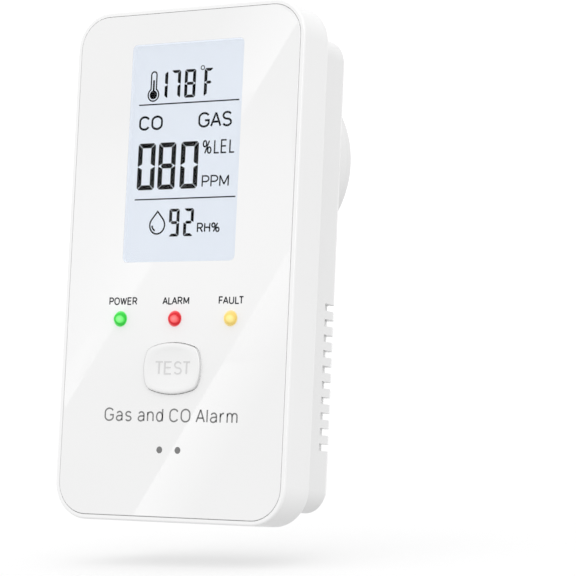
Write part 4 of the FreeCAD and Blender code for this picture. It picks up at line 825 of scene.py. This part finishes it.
def disc_arrows():
    """A raised arrow after each word, bent round the disc."""
    radius, start, end, barb, spread = 13.2, -50, -68, 1.2, 35
    for name, side in (("arrow_open", 1), ("arrow_lock", -1)):
        arc = [(side * x, z) for x, z in bow(0, 0, radius, radius, start, end)]
        tip, before = Vector(arc[-1]), Vector(arc[-2])
        back = (before - tip).normalized() * barb
        barbs = [tip + Matrix.Rotation(math.radians(turn), 2) @ back for turn in (-spread, spread)]

        def build(work):
            line(work, arc, RELIEF_WIDTH, DISC_DEPTH)
            line(work, [tuple(barbs[0]), tuple(tip), tuple(barbs[1])], RELIEF_WIDTH, DISC_DEPTH)

        piece_from("plug_" + name, build, "plug", RELIEF_REAR)


def disc_rings():
    """The disc's raised edge, and the seal in the groove round the disc."""
    rim = corner("plug_face", 1, 0)
    edge, groove = rim - 0.75, rim + 0.4
    plug_line("plug_disc_edge", bow(0, 0, edge, edge, 0, 360), 0.35)
    plug_line("plug_disc_seal", bow(0, 0, groove, groove, 0, 360), 0.7, (DISC_REAR - 1.2, DISC_REAR - 0.35))


def blade_collars():
    """A raised border round each blade's slot."""
    clear = 0.35
    for node in ("blade_left", "blade_right"):
        x_low, x_high = corner(node, 0, 0) - clear, corner(node, 1, 0) + clear
        z_low, z_high = corner(node, 0, 2) - clear, corner(node, 1, 2) + clear
        loop = [(x_low, z_low), (x_high, z_low), (x_high, z_high), (x_low, z_high), (x_low, z_low)]
        plug_line(node + "_collar", loop, 0.3)


def vent_screens():
    """A pale dust screen inside each row of side vents, bent round the rear corner."""
    inside = corner("rear_shell", 1, 0) - 2.05
    front, rear, flap = -17.0, -11.25, 3.2
    thickness, heights = 0.3, (-62.0, -30.6)
    for name, side in (("vent_screen_left", -1), ("vent_screen_right", 1)):
        path = [(side * inside, front), (side * inside, rear), (side * (inside - flap), rear)]

        def build(work):
            # the section lies in X and Y, so it is drawn as (x, z) and then stood up
            line(work, path, thickness, heights)
            for vertex in work.verts:
                vertex.co = Vector((vertex.co.x, vertex.co.z, vertex.co.y))

        piece_from(name, build, "housing", FINISHES["button_white"])


def latch_springs():
    """The latch's two springs: a copy of their CAD node's mesh on the housing, in place of the node."""
    press = next(joint for joint in frame["joints"] if joint["name"] == "latch_press")
    outward = -Vector(press["axis"])
    made = bpy.data.objects.new("latch_spring_pair", frame["nodes"]["latch_springs"].data.copy())
    bpy.context.scene.collection.objects.link(made)
    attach(made, "housing")
    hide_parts("latch_springs")
    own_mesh(made)


# ---------------------------------------------------------------- stage

CAMERA_PLACE = mm(277.21, -443.96, -75.1)
CAMERA_FORWARD = Vector((-0.51881, 0.84971, 0.09398))
CAMERA_UP = Vector((0.01091, -0.10334, 0.99459))
MIDDLE = mm(0, -15, -24)  # about the middle of the case
PAPER_HEIGHT = corner("front_shell", 0, 2) - 6.9
CARD_DISTANCE = 800  # from the panel to the light cards
PAPER_TILT = 5.0  # degrees that the paper falls towards the camera
PAPER_ROLL = 4.8  # degrees that its right side is raised


def camera():
    """A long lens that looks at the front from the right and slightly from below."""
    made = bpy.data.objects.new("camera", bpy.data.cameras.new("camera"))
    bpy.context.scene.collection.objects.link(made)
    made.data.lens = 153.85
    made.data.sensor_width = 36
    made.data.clip_start = 0.01
    forward = CAMERA_FORWARD.normalized()
    right = forward.cross(CAMERA_UP).normalized()
    up = right.cross(forward)
    turn = Matrix((right, up, -forward)).transposed()
    made.matrix_world = Matrix.Translation(CAMERA_PLACE) @ turn.to_4x4()
    bpy.context.scene.camera = made


def stage_piece(name, corners, material):
    """A flat stage piece with four corners, which gives matt surfaces no light."""
    mesh = bpy.data.meshes.new(name)
    mesh.from_pydata(corners, [], [(0, 1, 2, 3)])
    mesh.materials.append(material)
    made = bpy.data.objects.new(name, mesh)
    bpy.context.scene.collection.objects.link(made)
    made.visible_diffuse = False
    return made


def light_card(name, start, end, wide, radiance, soft=False):
    """A card in front of the panel that the panel mirrors as a band of light. start and end are the
    band's crisp edge on the panel as (x, z), and it fades out over wide millimetres beside it. A soft
    band has no crisp edge: it is brightest in its middle."""
    mirrored = Vector((CAMERA_PLACE.x, 2 * FRONT * MM - CAMERA_PLACE.y, CAMERA_PLACE.z)) / MM
    reach = CARD_DISTANCE / (mirrored.y - FRONT)
    edge = [Vector((x, FRONT, z)) for x, z in (start, end)]
    edge = [point + (point - mirrored) * reach for point in edge]
    along = edge[1] - edge[0]
    across = Vector((-along.z, 0, along.x)).normalized() * wide * (1 + reach)
    turn = Matrix((along * MM, across * MM, Vector((0, 1, 0)))).transposed()
    material = bpy.data.materials.new(name)
    material.use_nodes = True
    tree = material.node_tree
    tree.nodes.clear()
    place = tree.nodes.new("ShaderNodeTexCoord")
    parts = tree.nodes.new("ShaderNodeSeparateXYZ")
    fade = tree.nodes.new("ShaderNodeMapRange")
    fade.inputs["To Min"].default_value = radiance
    fade.inputs["To Max"].default_value = 0.0
    light = tree.nodes.new("ShaderNodeEmission")
    clear = tree.nodes.new("ShaderNodeBsdfTransparent")
    both = tree.nodes.new("ShaderNodeAddShader")
    output = tree.nodes.new("ShaderNodeOutputMaterial")
    tree.links.new(place.outputs["Object"], parts.inputs[0])
    tree.links.new(parts.outputs["Y"], fade.inputs["Value"])
    strength = fade.outputs["Result"]
    if soft:
        hump = tree.nodes.new("ShaderNodeMath")
        hump.operation = "MULTIPLY"
        tree.links.new(strength, hump.inputs[0])
        tree.links.new(parts.outputs["Y"], hump.inputs[1])
        strength = hump.outputs["Value"]
    tree.links.new(strength, light.inputs["Strength"])
    tree.links.new(light.outputs[0], both.inputs[0])
    tree.links.new(clear.outputs[0], both.inputs[1])
    tree.links.new(both.outputs[0], output.inputs["Surface"])
    made = stage_piece(name, [(0, 0, 0), (1, 0, 0), (1, 1, 0), (0, 1, 0)], material)
    made.matrix_world = Matrix.Translation(edge[0] * MM) @ turn.to_4x4()
    made.visible_camera = False
    made.visible_shadow = False
    made.visible_transmission = False


def soft_box(name, azimuth, elevation, distance, size, radiance):
    """A rectangular light aimed at the object, which shows only in glossy surfaces. Azimuth 0 is in
    front and 90 to the right; distance and size are metres."""
    turn, rise = math.radians(azimuth), math.radians(elevation)
    direction = Vector((math.sin(turn) * math.cos(rise), -math.cos(turn) * math.cos(rise), math.sin(rise)))
    light = bpy.data.lights.new(name, "AREA")
    light.shape = "RECTANGLE"
    light.size, light.size_y = size
    light.energy = math.pi * light.size * light.size_y * radiance
    made = bpy.data.objects.new(name, light)
    bpy.context.scene.collection.objects.link(made)
    turned = direction.to_track_quat("Z", "Y").to_matrix().to_4x4()
    made.matrix_world = Matrix.Translation(MIDDLE + direction * distance) @ turned
    made.visible_camera = False
    made.visible_diffuse = False


def floor():
    """White paper that returns part of the light by itself, so that shadows on it stay pale."""
    reach, height = 8.0, PAPER_HEIGHT * MM
    paper = Shader("paper").set(Roughness=0.9, Specular_IOR_Level=0.1, Emission_Strength=0.35)
    paper.set(Emission_Color=(1, 1, 1, 1))
    paper.colours(paper.noise(300.0, 2.0), (0.575, 0.575, 0.575, 1), (0.585, 0.585, 0.585, 1))
    corners = [(-reach, -reach, 0), (reach, -reach, 0), (reach, reach, 0), (-reach, reach, 0)]
    made = stage_piece("floor", corners, paper.material)
    across = Vector((-CAMERA_FORWARD.y, CAMERA_FORWARD.x, 0)).normalized()
    away = Vector((CAMERA_FORWARD.x, CAMERA_FORWARD.y, 0)).normalized()
    tilt = Matrix.Rotation(math.radians(-PAPER_TILT), 4, across)
    roll = Matrix.Rotation(math.radians(-PAPER_ROLL), 4, away)
    made.matrix_world = Matrix.Translation((MIDDLE.x, MIDDLE.y, height)) @ tilt @ roll
    made.visible_glossy = False


def surroundings():
    """White surroundings that darken below the horizon and a little towards the right."""
    level, below_fall, right_fall = 1.147, 0.64, -0.04
    world = bpy.data.worlds.new("surroundings")
    world.use_nodes = True
    tree = world.node_tree
    place = tree.nodes.new("ShaderNodeTexCoord")
    parts = tree.nodes.new("ShaderNodeSeparateXYZ")
    below = tree.nodes.new("ShaderNodeMath")
    below.operation = "MINIMUM"
    below.inputs[1].default_value = 0.0
    fall = tree.nodes.new("ShaderNodeMath")
    fall.operation = "MULTIPLY_ADD"
    fall.inputs[1].default_value = below_fall
    fall.inputs[2].default_value = level
    right = tree.nodes.new("ShaderNodeMath")
    right.operation = "MULTIPLY_ADD"
    right.inputs[1].default_value = right_fall
    tree.links.new(place.outputs["Generated"], parts.inputs[0])
    tree.links.new(parts.outputs["Z"], below.inputs[0])
    tree.links.new(below.outputs["Value"], fall.inputs[0])
    tree.links.new(parts.outputs["X"], right.inputs[0])
    tree.links.new(fall.outputs["Value"], right.inputs[2])
    tree.links.new(right.outputs["Value"], tree.nodes["Background"].inputs["Strength"])
    tree.nodes["Background"].inputs["Color"].default_value = (1, 1, 1, 1)
    bpy.context.scene.world = world


camera()
surroundings()
floor()
light_card("card_upper", (-26.0, -53.7), (26.3, 24.0), 16, 1.9)
light_card("card_lower", (26.3, -22.3), (-7.7, -75.2), 12, 1.9)
light_card("card_middle", (-30.0, -49.0), (30.0, -43.0), 54, 4.0, soft=True)
soft_box("rim_light", 35, 25, 0.9, (0.5, 0.9), 3.4)
soft_box("rim_light_high", 22, 58, 0.9, (0.6, 0.5), 3.0)
bpy.context.scene.view_settings.view_transform = "Standard"
finish_frame()
display()
window_liner()
legends()
glow_rings()
sound_meshes()
button()
disc_words()
disc_arrows()
disc_rings()
blade_collars()
vent_screens()
latch_springs()
